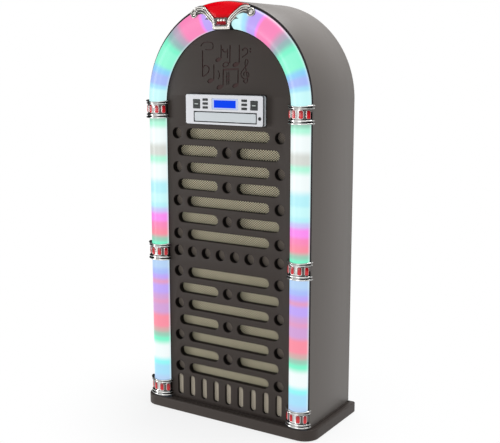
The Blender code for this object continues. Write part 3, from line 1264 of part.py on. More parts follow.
def amplifier_board():
    """Circuit board on stand-offs, with the transformer and a finned heat sink."""
    x, y = AMPLIFIER_CENTRE
    low = PLINTH_TOP + GAP + STANDOFF_HEIGHT
    top = low + AMPLIFIER_SIZE[2]
    board = loft("amplifier_board", box_loops(AMPLIFIER_CENTRE, AMPLIFIER_SIZE, low), "circuit")
    bm = bmesh.new()
    for sx in (-1, 1):
        for sy in (-1, 1):
            leg = circle(x + sx * (AMPLIFIER_SIZE[0] / 2 - STANDOFF_INSET),
                         y + sy * (AMPLIFIER_SIZE[1] / 2 - STANDOFF_INSET), STANDOFF_RADIUS, PIN_STEPS)
            add_loft(bm, [along_z(leg, PLINTH_TOP + GAP), along_z(leg, (low + top) / 2)])
    apply_shape(board, add_object("standoffs", bm, "steel"), "UNION")
    seat = top - AMPLIFIER_SIZE[2] / 2
    core = (x + TRANSFORMER_SHIFT, y)
    join_block(board, "transformer_core", box_loops(core, TRANSFORMER_SIZE, seat))
    lift = (TRANSFORMER_SIZE[2] - TRANSFORMER_BOBBIN[2]) / 2
    join_block(board, "transformer_bobbin", box_loops(core, TRANSFORMER_BOBBIN, seat + lift))
    left = x - HEATSINK_SHIFT
    back = y - HEATSINK_DEPTH / 2
    pitch = HEATSINK_LENGTH / HEATSINK_FINS
    comb = [(left + HEATSINK_LENGTH / 2, back), (left - HEATSINK_LENGTH / 2, back)]
    for fin in range(HEATSINK_FINS):
        start = left - HEATSINK_LENGTH / 2 + fin * pitch
        end = start + pitch * (FIN_SHARE if fin < HEATSINK_FINS - 1 else 1.0)
        comb += [(start, back + HEATSINK_DEPTH), (end, back + HEATSINK_DEPTH)]
        if fin < HEATSINK_FINS - 1:
            comb += [(end, back + HEATSINK_BASE), (start + pitch, back + HEATSINK_BASE)]
    join_block(board, "heatsink", [along_z(comb, seat), along_z(comb, seat + HEATSINK_HEIGHT)])


def mains_inlet():
    """The two-pin inlet in the rear panel."""
    x, z = INLET_CENTRE
    face = BACK_Y + GAP + INLET_FLANGE_THICKNESS
    flange = rounded_rectangle(INLET_CENTRE, INLET_WIDTH + 2 * INLET_FLANGE, INLET_HEIGHT + 2 * INLET_FLANGE,
                               INLET_FLANGE)
    body = rounded_rectangle(INLET_CENTRE, INLET_WIDTH, INLET_HEIGHT, INLET_FLANGE / 2)
    loops = [along_y(flange, face), along_y(flange, BACK_Y + GAP), along_y(body, BACK_Y + GAP),
             along_y(body, BACK_Y - INLET_DEPTH)]
    inlet = loft("mains_inlet", loops, "moulding")
    well = rounded_rectangle(INLET_CENTRE, INLET_WELL_WIDTH, INLET_WELL_HEIGHT, INLET_WELL_HEIGHT / 4)
    floor = face - INLET_WELL_DEPTH
    cut_outlines(inlet, "inlet_well_cutter", [well], floor, face + OVERRUN)
    bm = bmesh.new()
    for side in (-1, 1):
        pin = circle(x + side * PIN_SPREAD, z, PIN_RADIUS, PIN_STEPS)
        add_loft(bm, [along_y(pin, floor - PIN_RADIUS), along_y(pin, floor + PIN_LENGTH)])
    apply_shape(inlet, add_object("inlet_pins", bm, "steel"), "UNION")


def main():
    """Build every piece of the jukebox."""
    clear_scene()
    base_plinth()
    rubber_feet()
    cabinet_shell()
    front_baffle()
    cloths()
    speaker_board()
    speakers()
    rear_panel()
    light_tubes()
    arch_lenses()
    light_strip()
    collars()
    crown()
    crown_dome()
    control_fascia()
    display_window()
    buttons()
    rockers()
    control_board()
    audio_socket()
    disc_tray()
    loading_gear()
    player_chassis()
    pickup_cradle()
    disc_turntable()
    laser_sled()
    clamp()
    amplifier_board()
    mains_inlet()


main()
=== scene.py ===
"""Looks of the arched home jukebox: light, camera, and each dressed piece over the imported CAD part.

Metres, +Z up, the front faces -Y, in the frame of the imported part.
"""
from __future__ import annotations

import json
import logging
import math
from collections.abc import Callable, Iterable, Sequence
from dataclasses import dataclass, replace
from enum import Enum
from typing import ClassVar

import bmesh
import bpy
from mathutils import Matrix, Vector

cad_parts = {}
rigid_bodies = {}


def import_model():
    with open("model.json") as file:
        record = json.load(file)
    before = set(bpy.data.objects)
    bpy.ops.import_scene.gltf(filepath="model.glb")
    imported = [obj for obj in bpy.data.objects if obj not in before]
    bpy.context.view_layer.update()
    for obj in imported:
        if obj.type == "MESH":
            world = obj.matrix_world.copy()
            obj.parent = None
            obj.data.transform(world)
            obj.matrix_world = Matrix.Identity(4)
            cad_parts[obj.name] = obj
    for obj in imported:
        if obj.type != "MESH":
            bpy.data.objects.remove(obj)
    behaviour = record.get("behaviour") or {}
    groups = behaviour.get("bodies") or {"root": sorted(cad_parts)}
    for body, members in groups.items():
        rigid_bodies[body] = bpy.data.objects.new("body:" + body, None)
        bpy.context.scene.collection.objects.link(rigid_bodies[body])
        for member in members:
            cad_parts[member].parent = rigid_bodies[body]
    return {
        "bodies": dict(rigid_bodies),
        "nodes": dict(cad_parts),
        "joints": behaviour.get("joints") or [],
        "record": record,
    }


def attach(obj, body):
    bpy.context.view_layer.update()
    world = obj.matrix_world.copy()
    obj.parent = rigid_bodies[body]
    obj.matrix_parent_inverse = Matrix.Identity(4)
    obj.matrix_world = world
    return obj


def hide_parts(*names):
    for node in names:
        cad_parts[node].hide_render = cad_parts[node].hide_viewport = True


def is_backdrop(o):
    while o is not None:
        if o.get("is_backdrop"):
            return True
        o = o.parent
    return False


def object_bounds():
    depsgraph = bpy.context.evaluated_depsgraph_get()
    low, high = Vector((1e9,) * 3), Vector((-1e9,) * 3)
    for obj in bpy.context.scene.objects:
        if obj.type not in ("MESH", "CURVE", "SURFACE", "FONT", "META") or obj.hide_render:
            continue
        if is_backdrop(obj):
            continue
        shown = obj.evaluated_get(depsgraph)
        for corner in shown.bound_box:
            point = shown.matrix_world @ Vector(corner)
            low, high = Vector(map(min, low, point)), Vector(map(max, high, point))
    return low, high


LOG = logging.getLogger("jukebox")
Point2 = tuple[float, float]
Point3 = tuple[float, float, float]
Colour = tuple[float, float, float]
SIDES = (("left", -1), ("right", 1))

# Sizes that several sub-assemblies share, as in the part's source
GAP = 0.0003
SPRINGLINE = 0.825
CABINET_HALF = 0.240
INNER_HALF = 0.228
FACE_Y = -0.100
BACK_Y = 0.1205
BAFFLE_BACK = -0.084
PLINTH_TOP = 0.030
LENS_BACK_Y = FACE_Y - GAP
LENS_PROTRUSION = 0.018
TUBE_CENTRE = 0.20975
CROWN_BACK_Y = FACE_Y - LENS_PROTRUSION - 2 * GAP
FASCIA_FRONT = -0.114
LENS_INNER = 0.1835
ARCH_MIDDLE = 0.204
LENS_REACH = 0.0295
COLLAR_HEIGHTS = {"foot": 0.0553, "waist": 0.428, "shoulder": 0.8005}
# Depth that the crown's map spans from nought to one
DEPTH_SCALE = 0.04
BLACK = (0.0, 0.0, 0.0)
WHITE = (1.0, 1.0, 1.0)


def srgb(red: int, green: int, blue: int) -> Colour:
    """Turn a display colour of 0 to 255 into the linear colour that shaders take.

    Args:
        red: red channel.
        green: green channel.
        blue: blue channel.

    Returns:
        The linear colour.
    """
    def channel(value: int) -> float:
        """One channel's linear value."""
        share = value / 255
        return share / 12.92 if share <= 0.04045 else ((share + 0.055) / 1.055) ** 2.4

    return channel(red), channel(green), channel(blue)


class Glow(Enum):
    """Colours that the lit tubes show."""

    WHITE = srgb(243, 252, 252)
    PEARL = srgb(214, 218, 212)
    PALE_CYAN = srgb(202, 250, 251)
    CYAN = srgb(184, 242, 250)
    AQUA = srgb(148, 248, 248)
    SKY = srgb(168, 226, 251)
    PALE_BLUE = srgb(182, 212, 246)
    AZURE = srgb(144, 210, 250)
    PERIWINKLE = srgb(170, 190, 250)
    PALE_LILAC = srgb(205, 200, 250)
    LAVENDER = srgb(192, 166, 248)
    MINT = srgb(146, 250, 215)
    PALE_MINT = srgb(178, 248, 220)
    DEEP_MINT = srgb(126, 246, 205)
    SAGE = srgb(154, 206, 184)
    TEAL = srgb(150, 186, 186)
    DUSK = srgb(184, 168, 190)
    ROSE = srgb(212, 174, 172)
    CORAL = srgb(250, 144, 164)
    PINK = srgb(251, 138, 190)
    ORCHID = srgb(226, 158, 200)
    MAUVE = srgb(211, 162, 217)
    MAGENTA = srgb(251, 143, 240)


# ---- shader arithmetic ----


class Value:
    """A node's socket that takes part in ordinary arithmetic."""

    def __init__(self, graph: Graph, socket: bpy.types.NodeSocket) -> None:
        """Keep the socket with the graph that it belongs to."""
        self.graph = graph
        self.socket = socket

    def __add__(self, other: Value | float) -> Value:
        """Sum."""
        return self.graph.math("ADD", self, other)

    __radd__ = __add__

    def __sub__(self, other: Value | float) -> Value:
        """Difference."""
        return self.graph.math("SUBTRACT", self, other)

    def __rsub__(self, other: float) -> Value:
        """Difference from a number."""
        return self.graph.math("SUBTRACT", other, self)

    def __mul__(self, other: Value | float) -> Value:
        """Product."""
        return self.graph.math("MULTIPLY", self, other)

    __rmul__ = __mul__

    def __truediv__(self, other: Value | float) -> Value:
        """Quotient."""
        return self.graph.math("DIVIDE", self, other)

    def __rtruediv__(self, other: float) -> Value:
        """A number divided by this."""
        return self.graph.math("DIVIDE", other, self)

    def __abs__(self) -> Value:
        """Size without sign."""
        return self.graph.math("ABSOLUTE", self)

    def __lt__(self, other: Value | float) -> Value:
        """One where this is the smaller."""
        return self.graph.math("LESS_THAN", self, other)

    def __gt__(self, other: Value | float) -> Value:
        """One where this is the larger."""
        return self.graph.math("GREATER_THAN", self, other)

    def sine(self) -> Value:
        """Sine of an angle in radians."""
        return self.graph.math("SINE", self)

    def root(self) -> Value:
        """Square root."""
        return self.graph.math("SQRT", self)

    def smooth(self, low: float, high: float) -> Value:
        """Nought at low, one at high, eased between them."""
        return self.graph.node("ShaderNodeMapRange", {"interpolation_type": "SMOOTHSTEP"},
                               {"Value": self, "From Min": low, "From Max": high})


class Graph:
    """A node tree with short words for the nodes that the pieces need."""

    def __init__(self, tree: bpy.types.NodeTree) -> None:
        """Keep the tree."""
        self.tree = tree

    def feed(self, socket: bpy.types.NodeSocket, value: object) -> None:
        """Link a value to a socket, or set the socket's constant.

        Args:
            socket: the input.
            value: a Value, or a number, text, datablock, vector or colour.
        """
        if isinstance(value, Value):
            self.tree.links.new(value.socket, socket)
        elif socket.type == "RGBA":
            socket.default_value = (*value[:3], 1.0)
        else:
            socket.default_value = value

    def node(self, kind: str, settings: dict[str, object] | None = None,
             inputs: dict[int | str, object] | None = None, output: int | str = 0) -> Value:
        """Any node, with its settings made first.

        Args:
            kind: the node's type.
            settings: its properties; "stops" fills a colour ramp with shares and colours.
            inputs: the values or links of its sockets, by number or name.
            output: the socket that is used.

        Returns:
            That output.
        """
        made = self.tree.nodes.new(kind)
        for key, setting in (settings or {}).items():
            if key == "stops":
                made.color_ramp.interpolation = "EASE"
                elements = made.color_ramp.elements
                while len(elements) < len(setting):
                    elements.new(0.5)
                for element, (share, colour) in zip(elements, setting):
                    element.position = share
                    element.color = (*colour, 1.0)
            else:
                setattr(made, key, setting)
        for key, value in (inputs or {}).items():
            self.feed(made.inputs[key], value)
        return Value(self, made.outputs[output])

    def math(self, operation: str, first: Value | float, second: Value | float = 0.0) -> Value:
        """One arithmetic node."""
        return self.node("ShaderNodeMath", {"operation": operation}, {0: first, 1: second})

    def split(self, vector: Value) -> list[Value]:
        """A vector's three parts."""
        first = self.node("ShaderNodeSeparateXYZ", {}, {0: vector})
        return [Value(self, output) for output in first.socket.node.outputs]

    def place(self) -> list[Value]:
        """Object coordinates as three values."""
        return self.split(self.node("ShaderNodeTexCoord", output="Object"))

    def taken(self, socket: bpy.types.NodeSocket) -> Value:
        """What already feeds a socket."""
        return Value(self, socket.links[0].from_socket)

    def surface(self) -> list[Value]:
        """The UV map's share along and share across."""
        return self.split(self.node("ShaderNodeUVMap", {"uv_map": "UVMap"}))[:2]

    def noise(self, scale: float, detail: float = 3.0, stretch: Point3 = (1.0, 1.0, 1.0)) -> Value:
        """Soft noise over the object.

        Args:
            scale: cells a metre.
            detail: octaves.
            stretch: factors on X, Y and Z.

        Returns:
            Noise around one half.
        """
        place = self.node("ShaderNodeTexCoord", output="Object")
        stretched = self.node("ShaderNodeVectorMath", {"operation": "MULTIPLY"}, {0: place, 1: stretch})
        return self.node("ShaderNodeTexNoise", {},
                         {"Vector": stretched, "Scale": scale, "Detail": detail})

    def mix(self, factor: Value | float, first: Value | Colour, second: Value | Colour) -> Value:
        """Blend two colours."""
        return self.node("ShaderNodeMix", {"data_type": "RGBA"}, {0: factor, 6: first, 7: second}, 2)

    def bump(self, height: Value, strength: float, distance: float) -> Value:
        """A normal bent by a height map whose step of one is a distance in metres."""
        return self.node("ShaderNodeBump", {},
                         {"Strength": strength, "Distance": distance, "Height": height})


# ---- finishes ----


@dataclass(frozen=True)
class Finish:
    """A painted, plated or moulded surface that varies a little."""

    name: str
    colour: Colour
    roughness: float
    metallic: float = 0.0
    coat: float = 0.0
    variation: float = 0.10
    grain: float = 400.0
    relief: float = 0.0
    specular: float = 0.5
    coat_roughness: float = 0.08

    def build(self) -> bpy.types.Material:
        """Make the material.

        Returns:
            The finished material.
        """
        made = bpy.data.materials.new(self.name)
        made.use_nodes = True
        shader = made.node_tree.nodes["Principled BSDF"]
        shader.inputs["Base Color"].default_value = (*self.colour, 1.0)
        shader.inputs["Roughness"].default_value = self.roughness
        shader.inputs["Metallic"].default_value = self.metallic
        shader.inputs["Specular IOR Level"].default_value = self.specular
        shader.inputs["Coat Weight"].default_value = self.coat
        shader.inputs["Coat Roughness"].default_value = self.coat_roughness
        self.dress(Graph(made.node_tree), shader)
        return made

    def tone(self, share: float) -> Colour:
        """The finish's colour, made lighter or darker by a share."""
        return tuple(min(1.0, channel * (1 + share)) for channel in self.colour)

    def dress(self, graph: Graph, shader: bpy.types.Node) -> None:
        """Vary the colour and roughness a little, and raise the grain.

        Args:
            graph: the material's graph.
            shader: its surface shader.
        """
        cloud = graph.noise(self.grain)
        broad = graph.noise(6.0, 2.0)
        mixed = graph.mix(cloud * 0.6 + broad * 0.4, self.tone(-self.variation),
                          self.tone(self.variation))
        graph.feed(shader.inputs["Base Color"], mixed)
        graph.feed(shader.inputs["Roughness"], broad * 0.12 + (self.roughness - 0.06))
        if self.relief:
            graph.feed(shader.inputs["Normal"], graph.bump(cloud, 0.5, self.relief))


@dataclass(frozen=True)
class WrapFinish(Finish):
    """Printed foil over board: fine speckle and faint upright streaks."""

    def dress(self, graph: Graph, shader: bpy.types.Node) -> None:
        """Lay streaks and speckle over the colour.

        Args:
            graph: the material's graph.
            shader: its surface shader.
        """
        streak = graph.noise(90.0, 4.0, (1.0, 1.0, 0.06))
        speckle = graph.noise(700.0, 2.0)
        blend = streak * 0.55 + speckle * 0.45
        graph.feed(shader.inputs["Base Color"],
                   graph.mix(blend, self.tone(-self.variation), self.tone(self.variation)))
        graph.feed(shader.inputs["Roughness"], streak * 0.14 + (self.roughness - 0.07))
        graph.feed(shader.inputs["Normal"], graph.bump(speckle, 0.35, self.relief))


@dataclass(frozen=True)
class ShellFinish(WrapFinish):
    """The shell's foil, with the bare dark edge that faces forward."""

    edge_colour: Colour = srgb(30, 26, 30)
    edge_depth: float = 0.0007

    def dress(self, graph: Graph, shader: bpy.types.Node) -> None:
        """Foil, and the dark front edge.

        Args:
            graph: the material's graph.
            shader: its surface shader.
        """
        super().dress(graph, shader)
        _, y, _ = graph.place()
        edge = y < FACE_Y + self.edge_depth
        foil = graph.taken(shader.inputs["Base Color"])
        graph.feed(shader.inputs["Base Color"], graph.mix(edge, foil, self.edge_colour))


@dataclass(frozen=True)
class PanelFinish(WrapFinish):
    """The front's foil: black in its openings, redder in the carving and darkened there as painted shade,
    with painted shade along the lenses and round the fascia.
    """

    floor_depth: float = 0.0014
    # Redder colour of the carving's floor, darkened as painted shade in the narrow grooves
    carved_floor_and_shade_colour: Colour = srgb(53, 30, 28)
    # Black of the openings' walls, also used as the painted shade along the lenses and round the fascia
    wall_and_shade_colour: Colour = srgb(18, 14, 13)
    wall_start: float = 0.0006
    # Width of the painted shade along the lenses, and how it grows towards the crown
    lens_shade: float = 0.0045
    lens_shade_growth: float = 0.009
    # Middle, half width and half height of the painted shadow round the fascia
    fascia: Point3 = (0.80485, 0.1154, 0.0392)

    def dress(self, graph: Graph, shader: bpy.types.Node) -> None:
        """Foil, with the carving told apart from the openings by its height.

        Args:
            graph: the material's graph.
            shader: its surface shader.
        """
        super().dress(graph, shader)
        x, y, z = graph.place()
        foil = graph.taken(shader.inputs["Base Color"])
        above = z > SPRINGLINE
        wall = y > FACE_Y + self.wall_start
        floor = (abs(y - (FACE_Y + self.floor_depth)) < self.floor_depth / 5) * above
        rise = graph.math("MAXIMUM", z - SPRINGLINE, 0.0)
        radius = (x * x + rise * rise).root()
        grown = radius + rise / radius * self.lens_shade_growth
        # Painted shade on the foil beside the lenses
        lens_shade = grown.smooth(LENS_INNER - self.lens_shade, LENS_INNER - self.lens_shade / 3)
        coloured = graph.mix(lens_shade * 0.75, foil, self.wall_and_shade_colour)
        middle, half_width, half_height = self.fascia
        # Painted shadow round the fascia
        fascia_shadow = (abs(x) < half_width) * (abs(z - middle) < half_height)
        coloured = graph.mix(fascia_shadow * 0.85, coloured, self.wall_and_shade_colour)
        coloured = graph.mix(wall, coloured, self.wall_and_shade_colour)
        graph.feed(shader.inputs["Base Color"], graph.mix(floor, coloured, self.carved_floor_and_shade_colour))


@dataclass(frozen=True)
class WeaveFinish(Finish):
    """Speaker cloth: two threads that cross on the slant, with dark gaps between them."""

    pitch: float = 0.0074
    slant: float = 1.3
    cover_range: Point2 = (0.46, 0.80)
    gap_colour: Colour = srgb(36, 32, 24)
    # Colour of the painted shade on the cloth behind the round holes, and whether it is used
    hole_shade_colour: Colour = srgb(118, 108, 102)
    shade_holes: bool = False

    def hole_shade(self, graph: Graph) -> Value:
        """Where painted shade darkens the cloth behind the round holes.

        Args:
            graph: the material's graph.

        Returns:
            One over a hole, nought elsewhere.
        """
        grille = Grille()
        x, _, z = graph.place()
        upper = z > grille.middle_row
        low, high = grille.top_rows[1], grille.top_rows[0]
        row = (upper * (high - low) + low - z) / grille.row_pitch
        odd = (row * math.pi + math.pi / 2).sine() < 0.0
        outer = (abs(x) > (grille.long_slot / 2 + 0.004)) * (1.0 - odd)
        inner = (abs(x) < grille.hole_radius * 1.4) * odd
        middle = abs(z - grille.middle_row) < grille.row_pitch / 2
        return (outer + inner + middle) > 0.5

    def dress(self, graph: Graph, shader: bpy.types.Node) -> None:
        """Draw the threads, and bump them.

        Args:
            graph: the material's graph.
            shader: its surface shader.
        """
        x, _, z = graph.place()
        turn = math.pi / self.pitch
        one = abs(((x + z * self.slant) * turn).sine())
        two = abs(((x - z * self.slant) * turn).sine())
        thread = (one + two) * 0.5
        cover = thread.smooth(*self.cover_range)
        cloud = graph.noise(45.0)
        light = graph.mix(cloud, self.tone(-self.variation), self.tone(self.variation))
        woven = graph.mix(cover, self.gap_colour, light)
        # Painted shade behind the round holes
        if self.shade_holes:
            woven = graph.mix(self.hole_shade(graph) * 0.85, woven, self.hole_shade_colour)
        graph.feed(shader.inputs["Base Color"], woven)
        graph.feed(shader.inputs["Normal"], graph.bump(thread, 0.8, 0.0004))


@dataclass(frozen=True)
class LensFinish(Finish):
    """Milky plastic lit from behind: colours along it, and painted highlights that pale its edges."""

    stops: tuple[tuple[float, Glow], ...] = ()
    # Colour of the painted highlights along the lens edges, and where across the lens they lie
    edge_colour: Colour = srgb(226, 246, 250)
    edge_highlight_range: Point2 = (0.72, 0.95)
    drift: float = 0.012
    strength: float = 0.93

    def dress(self, graph: Graph, shader: bpy.types.Node) -> None:
        """Emit the row of colours.

        Args:
            graph: the material's graph.
            shader: its surface shader.
        """
        along, across = graph.surface()
        drift = (graph.noise(14.0, 2.0) - 0.5) * self.drift
        stops = [(share, glow.value) for share, glow in self.stops]
        colours = graph.node("ShaderNodeValToRGB", {"stops": stops}, {0: along + drift})
        off_axis = abs(across - 0.5) * 2.0
        # Painted highlights along both edges
        edge_highlighted = graph.mix(off_axis.smooth(*self.edge_highlight_range) * 0.5, colours, self.edge_colour)
        graph.feed(shader.inputs["Emission Color"], edge_highlighted)
        shader.inputs["Emission Strength"].default_value = self.strength
        graph.feed(shader.inputs["Base Color"], graph.mix(0.06, BLACK, colours))


@dataclass(frozen=True)
class JewelFinish(Finish):
    """Clear red plastic, lit a little from behind, with painted shade and painted highlight along its
    height and painted shade on its rim.
    """

    glow: float = 0.25
    # Heights of the painted shade (low) and of the painted highlight (high)
    low: float = 0.0
    high: float = 1.0
    # Strength and start of the painted shade on the rim
    rim: float = 0.0
    rim_shade_start: float = 0.84

    def dress(self, graph: Graph, shader: bpy.types.Node) -> None:
        """Paint shade and highlight on the red between two heights, and paint shade on its rim.

        Args:
            graph: the material's graph.
            shader: its surface shader.
        """
        _, _, z = graph.place()
        shade = graph.mix(z.smooth(self.low, self.high), self.tone(-0.5), self.tone(0.1))
        if self.rim:
            edge, _ = graph.surface()
            shade = graph.mix(edge.smooth(self.rim_shade_start, 1.0) * self.rim, shade, self.tone(-0.85))
        graph.feed(shader.inputs["Base Color"], graph.mix(self.glow, shade, BLACK))
        graph.feed(shader.inputs["Emission Color"], shade)
        shader.inputs["Emission Strength"].default_value = self.glow


@dataclass(frozen=True)
class CollarFinish(Finish):
    """Chrome with painted dark reflection and shade in the grooves between the rings of a collar, deepest
    at its sides, and painted dark reflection on the band's flanks.
    """

    band: float = 0.54
    grooves: tuple[Point2, ...] = ((0.775, 0.062), (0.525, 0.030))
    # How far from the tube's middle the painted dark reflections grow, in the grooves and on the flanks
    reflection_side_range: Point2 = (0.004, 0.016)
    flank_reflection_range: Point2 = (0.0065, 0.0125)
    # Painted dark reflection on the band's flanks, and painted dark reflection and shade in the grooves
    band_colour: Colour = srgb(66, 60, 57)
    groove_colour: Colour = (0.012, 0.012, 0.014)

    def dress(self, graph: Graph, shader: bpy.types.Node) -> None:
        """Paint dark reflection and shade into the grooves and dark reflection onto the band's flanks, by
        the mapped share of the half length.

        Args:
            graph: the material's graph.
            shader: its surface shader.
        """
        super().dress(graph, shader)
        x, _, _ = graph.place()
        _, height = graph.surface()
        away = abs(height * 4.0 - 2.0)
        off = abs(abs(x) - TUBE_CENTRE)
        # Painted dark reflection, strongest at the sleeve's sides
        side = off.smooth(*self.reflection_side_range) * 0.7 + 0.3
        metal = graph.taken(shader.inputs["Base Color"])
        # Painted dark reflection on the band's flanks
        flank = (away < self.band) * off.smooth(*self.flank_reflection_range)
        metal = graph.mix(flank * 0.9, metal, self.band_colour)
        for place, half in self.grooves:
            line = (1.0 - abs(away - place).smooth(half * 0.6, half * 1.4)) * side
            metal = graph.mix(line, metal, self.groove_colour)
        graph.feed(shader.inputs["Base Color"], metal)


@dataclass(frozen=True)
class CastFinish(Finish):
    """Chrome casting with painted shade in its recesses, and painted dark reflection and shadow on its
    side walls.
    """

    recess: float = 0.0
    raised: float = 0.0
    wall_depth: float = 0.0008
    # Painted shade in the recesses, and painted dark reflection and shadow on the side walls
    recess_shade_colour: Colour = srgb(82, 80, 78)
    wall_and_shade_colour: Colour = srgb(20, 20, 22)

    def dress(self, graph: Graph, shader: bpy.types.Node) -> None:
        """Paint shade on the metal by the depth that its map holds, and dark reflection and shadow on its
        walls.

        Args:
            graph: the material's graph.
            shader: its surface shader.
        """
        super().dress(graph, shader)
        _, depth = graph.surface()
        y = depth * DEPTH_SCALE + LENS_BACK_Y - DEPTH_SCALE
        metal = graph.taken(shader.inputs["Base Color"])
        deep = y.smooth(self.raised, self.recess)
        shaded = graph.mix(deep, metal, self.recess_shade_colour)
        # Painted dark reflection and shadow on the plate's side walls and returns
        wall = y > self.recess + self.wall_depth
        graph.feed(shader.inputs["Base Color"], graph.mix(wall, shaded, self.wall_and_shade_colour))


@dataclass(frozen=True)
class FasciaFinish(Finish):
    """Silver paint, black inside the openings and in a line round the tray's door."""

    door: tuple[float, float, float, float] = (0.0035, 0.787, 0.180, 0.022)
    socket: Point3 = (0.1038, 0.787, 0.0046)
    line: float = 0.0026
    inner: Point3 = (0.80485, 0.109, 0.0333)
    lip_depth: float = 0.0006
    band_depth: float = 0.0011
    joint_depths: Point2 = (0.0023, 0.0049)
    body_depth: float = 0.0066
    gap_colour: Colour = srgb(16, 16, 18)
    band_colour: Colour = srgb(78, 82, 92)
    # Paler than the silver front, as painted light on the moulding's sides
    lit_body_colour: Colour = srgb(236, 238, 242)

    def dress(self, graph: Graph, shader: bpy.types.Node) -> None:
        """Paint, gap lines, inner walls, and the dark band behind the front, with the body behind it
        painted paler as painted light.

        Args:
            graph: the material's graph.
            shader: its surface shader.
        """
        super().dress(graph, shader)
        x, y, z = graph.place()
        paint = graph.taken(shader.inputs["Base Color"])
        middle_x, middle_z, width, height = self.door
        near = abs(x - middle_x) < width / 2 + self.line
        near = near * (abs(z - middle_z) < height / 2 + self.line)
        across, upright, radius = self.socket
        ring = ((x - across) * (x - across) + (z - upright) * (z - upright)).root() < radius
        middle, half_width, half_height = self.inner
        inside = y > FASCIA_FRONT + self.lip_depth
        inside = inside * (abs(x) < half_width) * (abs(z - middle) < half_height)
        start, end = self.joint_depths
        joint = (y > FASCIA_FRONT + start) * (y < FASCIA_FRONT + end)
        dark = (near + ring + inside + joint) > 0.5
        paint = graph.mix(y > FASCIA_FRONT + self.band_depth, paint, self.band_colour)
        # The body behind the front, painted paler as painted light
        paint = graph.mix(y > FASCIA_FRONT + self.body_depth, paint, self.lit_body_colour)
        graph.feed(shader.inputs["Base Color"], graph.mix(dark, paint, self.gap_colour))


@dataclass(frozen=True)
class DisplayFinish(Finish):
    """A lit blue panel of fine cells in a pale frame."""

    centre: Point2 = (0.004, 0.8191)
    lit_size: Point2 = (0.064, 0.0185)
    cell: float = 0.0012
    strength: float = 0.88
    frame_colour: Colour = srgb(188, 200, 234)

    def dress(self, graph: Graph, shader: bpy.types.Node) -> None:
        """Light the panel inside its frame.

        Args:
            graph: the material's graph.
            shader: its surface shader.
        """
        x, _, z = graph.place()
        across = abs(x - self.centre[0])
        upright = abs(z - self.centre[1])
        inside = (across < self.lit_size[0] / 2) * (upright < self.lit_size[1] / 2)
        turn = math.pi / self.cell
        cells = abs((x * turn).sine()) * abs((z * turn).sine())
        blue = graph.mix(cells.smooth(0.0, 0.25) * 0.25, self.tone(-0.2), self.colour)
        shown = graph.mix(inside, self.frame_colour, blue)
        graph.feed(shader.inputs["Base Color"], graph.mix(0.85, shown, BLACK))
        graph.feed(shader.inputs["Emission Color"], shown)
        shader.inputs["Emission Strength"].default_value = self.strength


@dataclass(frozen=True)
class RockerFinish(Finish):
    """A dark key of three segments with a pale band across its middle one."""

    middle: float = 0.818
    pair_middle: float = 0.004
    pair_offset: float = 0.084
    band: Point2 = (0.0052, 0.0012)
    groove: Point2 = (0.0042, 0.0004)
    band_colour: Colour = srgb(176, 184, 180)
    groove_colour: Colour = (0.004, 0.004, 0.004)

    def dress(self, graph: Graph, shader: bpy.types.Node) -> None:
        """Mark the band and the two grooves.

        Args:
            graph: the material's graph.
            shader: its surface shader.
        """
        x, _, z = graph.place()
        off = abs(z - self.middle)
        across = abs(abs(x - self.pair_middle) - self.pair_offset)
        band = (off < self.band[1]) * (across < self.band[0])
        groove = abs(off - self.groove[0]) < self.groove[1]
        marked = graph.mix(band, self.colour, self.band_colour)
        graph.feed(shader.inputs["Base Color"], graph.mix(groove, marked, self.groove_colour))
        graph.feed(shader.inputs["Normal"], graph.bump(groove, 0.6, -0.0004))


UPPER_STOPS = ((0.06, Glow.DEEP_MINT), (0.09, Glow.SAGE), (0.135, Glow.CORAL), (0.20, Glow.PINK),
               (0.235, Glow.MAGENTA), (0.262, Glow.MAGENTA), (0.30, Glow.PALE_LILAC), (0.335, Glow.CYAN),
               (0.37, Glow.PALE_CYAN), (0.405, Glow.PALE_CYAN), (0.435, Glow.CYAN), (0.475, Glow.CYAN),
               (0.54, Glow.WHITE), (0.605, Glow.WHITE), (0.662, Glow.PALE_MINT), (0.70, Glow.PEARL),
               (0.735, Glow.PEARL), (0.79, Glow.WHITE), (0.855, Glow.WHITE), (0.905, Glow.PALE_MINT),
               (0.94, Glow.SAGE))
LOWER_STOPS = ((0.12, Glow.PALE_BLUE), (0.165, Glow.SKY), (0.205, Glow.SKY), (0.236, Glow.AQUA),
               (0.285, Glow.WHITE), (0.345, Glow.WHITE), (0.40, Glow.DEEP_MINT), (0.434, Glow.SAGE),
               (0.467, Glow.ROSE), (0.50, Glow.CORAL), (0.555, Glow.CORAL), (0.60, Glow.MAUVE),
               (0.635, Glow.MAUVE), (0.667, Glow.ORCHID), (0.70, Glow.MAUVE), (0.738, Glow.LAVENDER),
               (0.768, Glow.LAVENDER), (0.80, Glow.ORCHID), (0.834, Glow.LAVENDER),
              (0.868, Glow.PERIWINKLE),
               (0.91, Glow.PALE_BLUE))
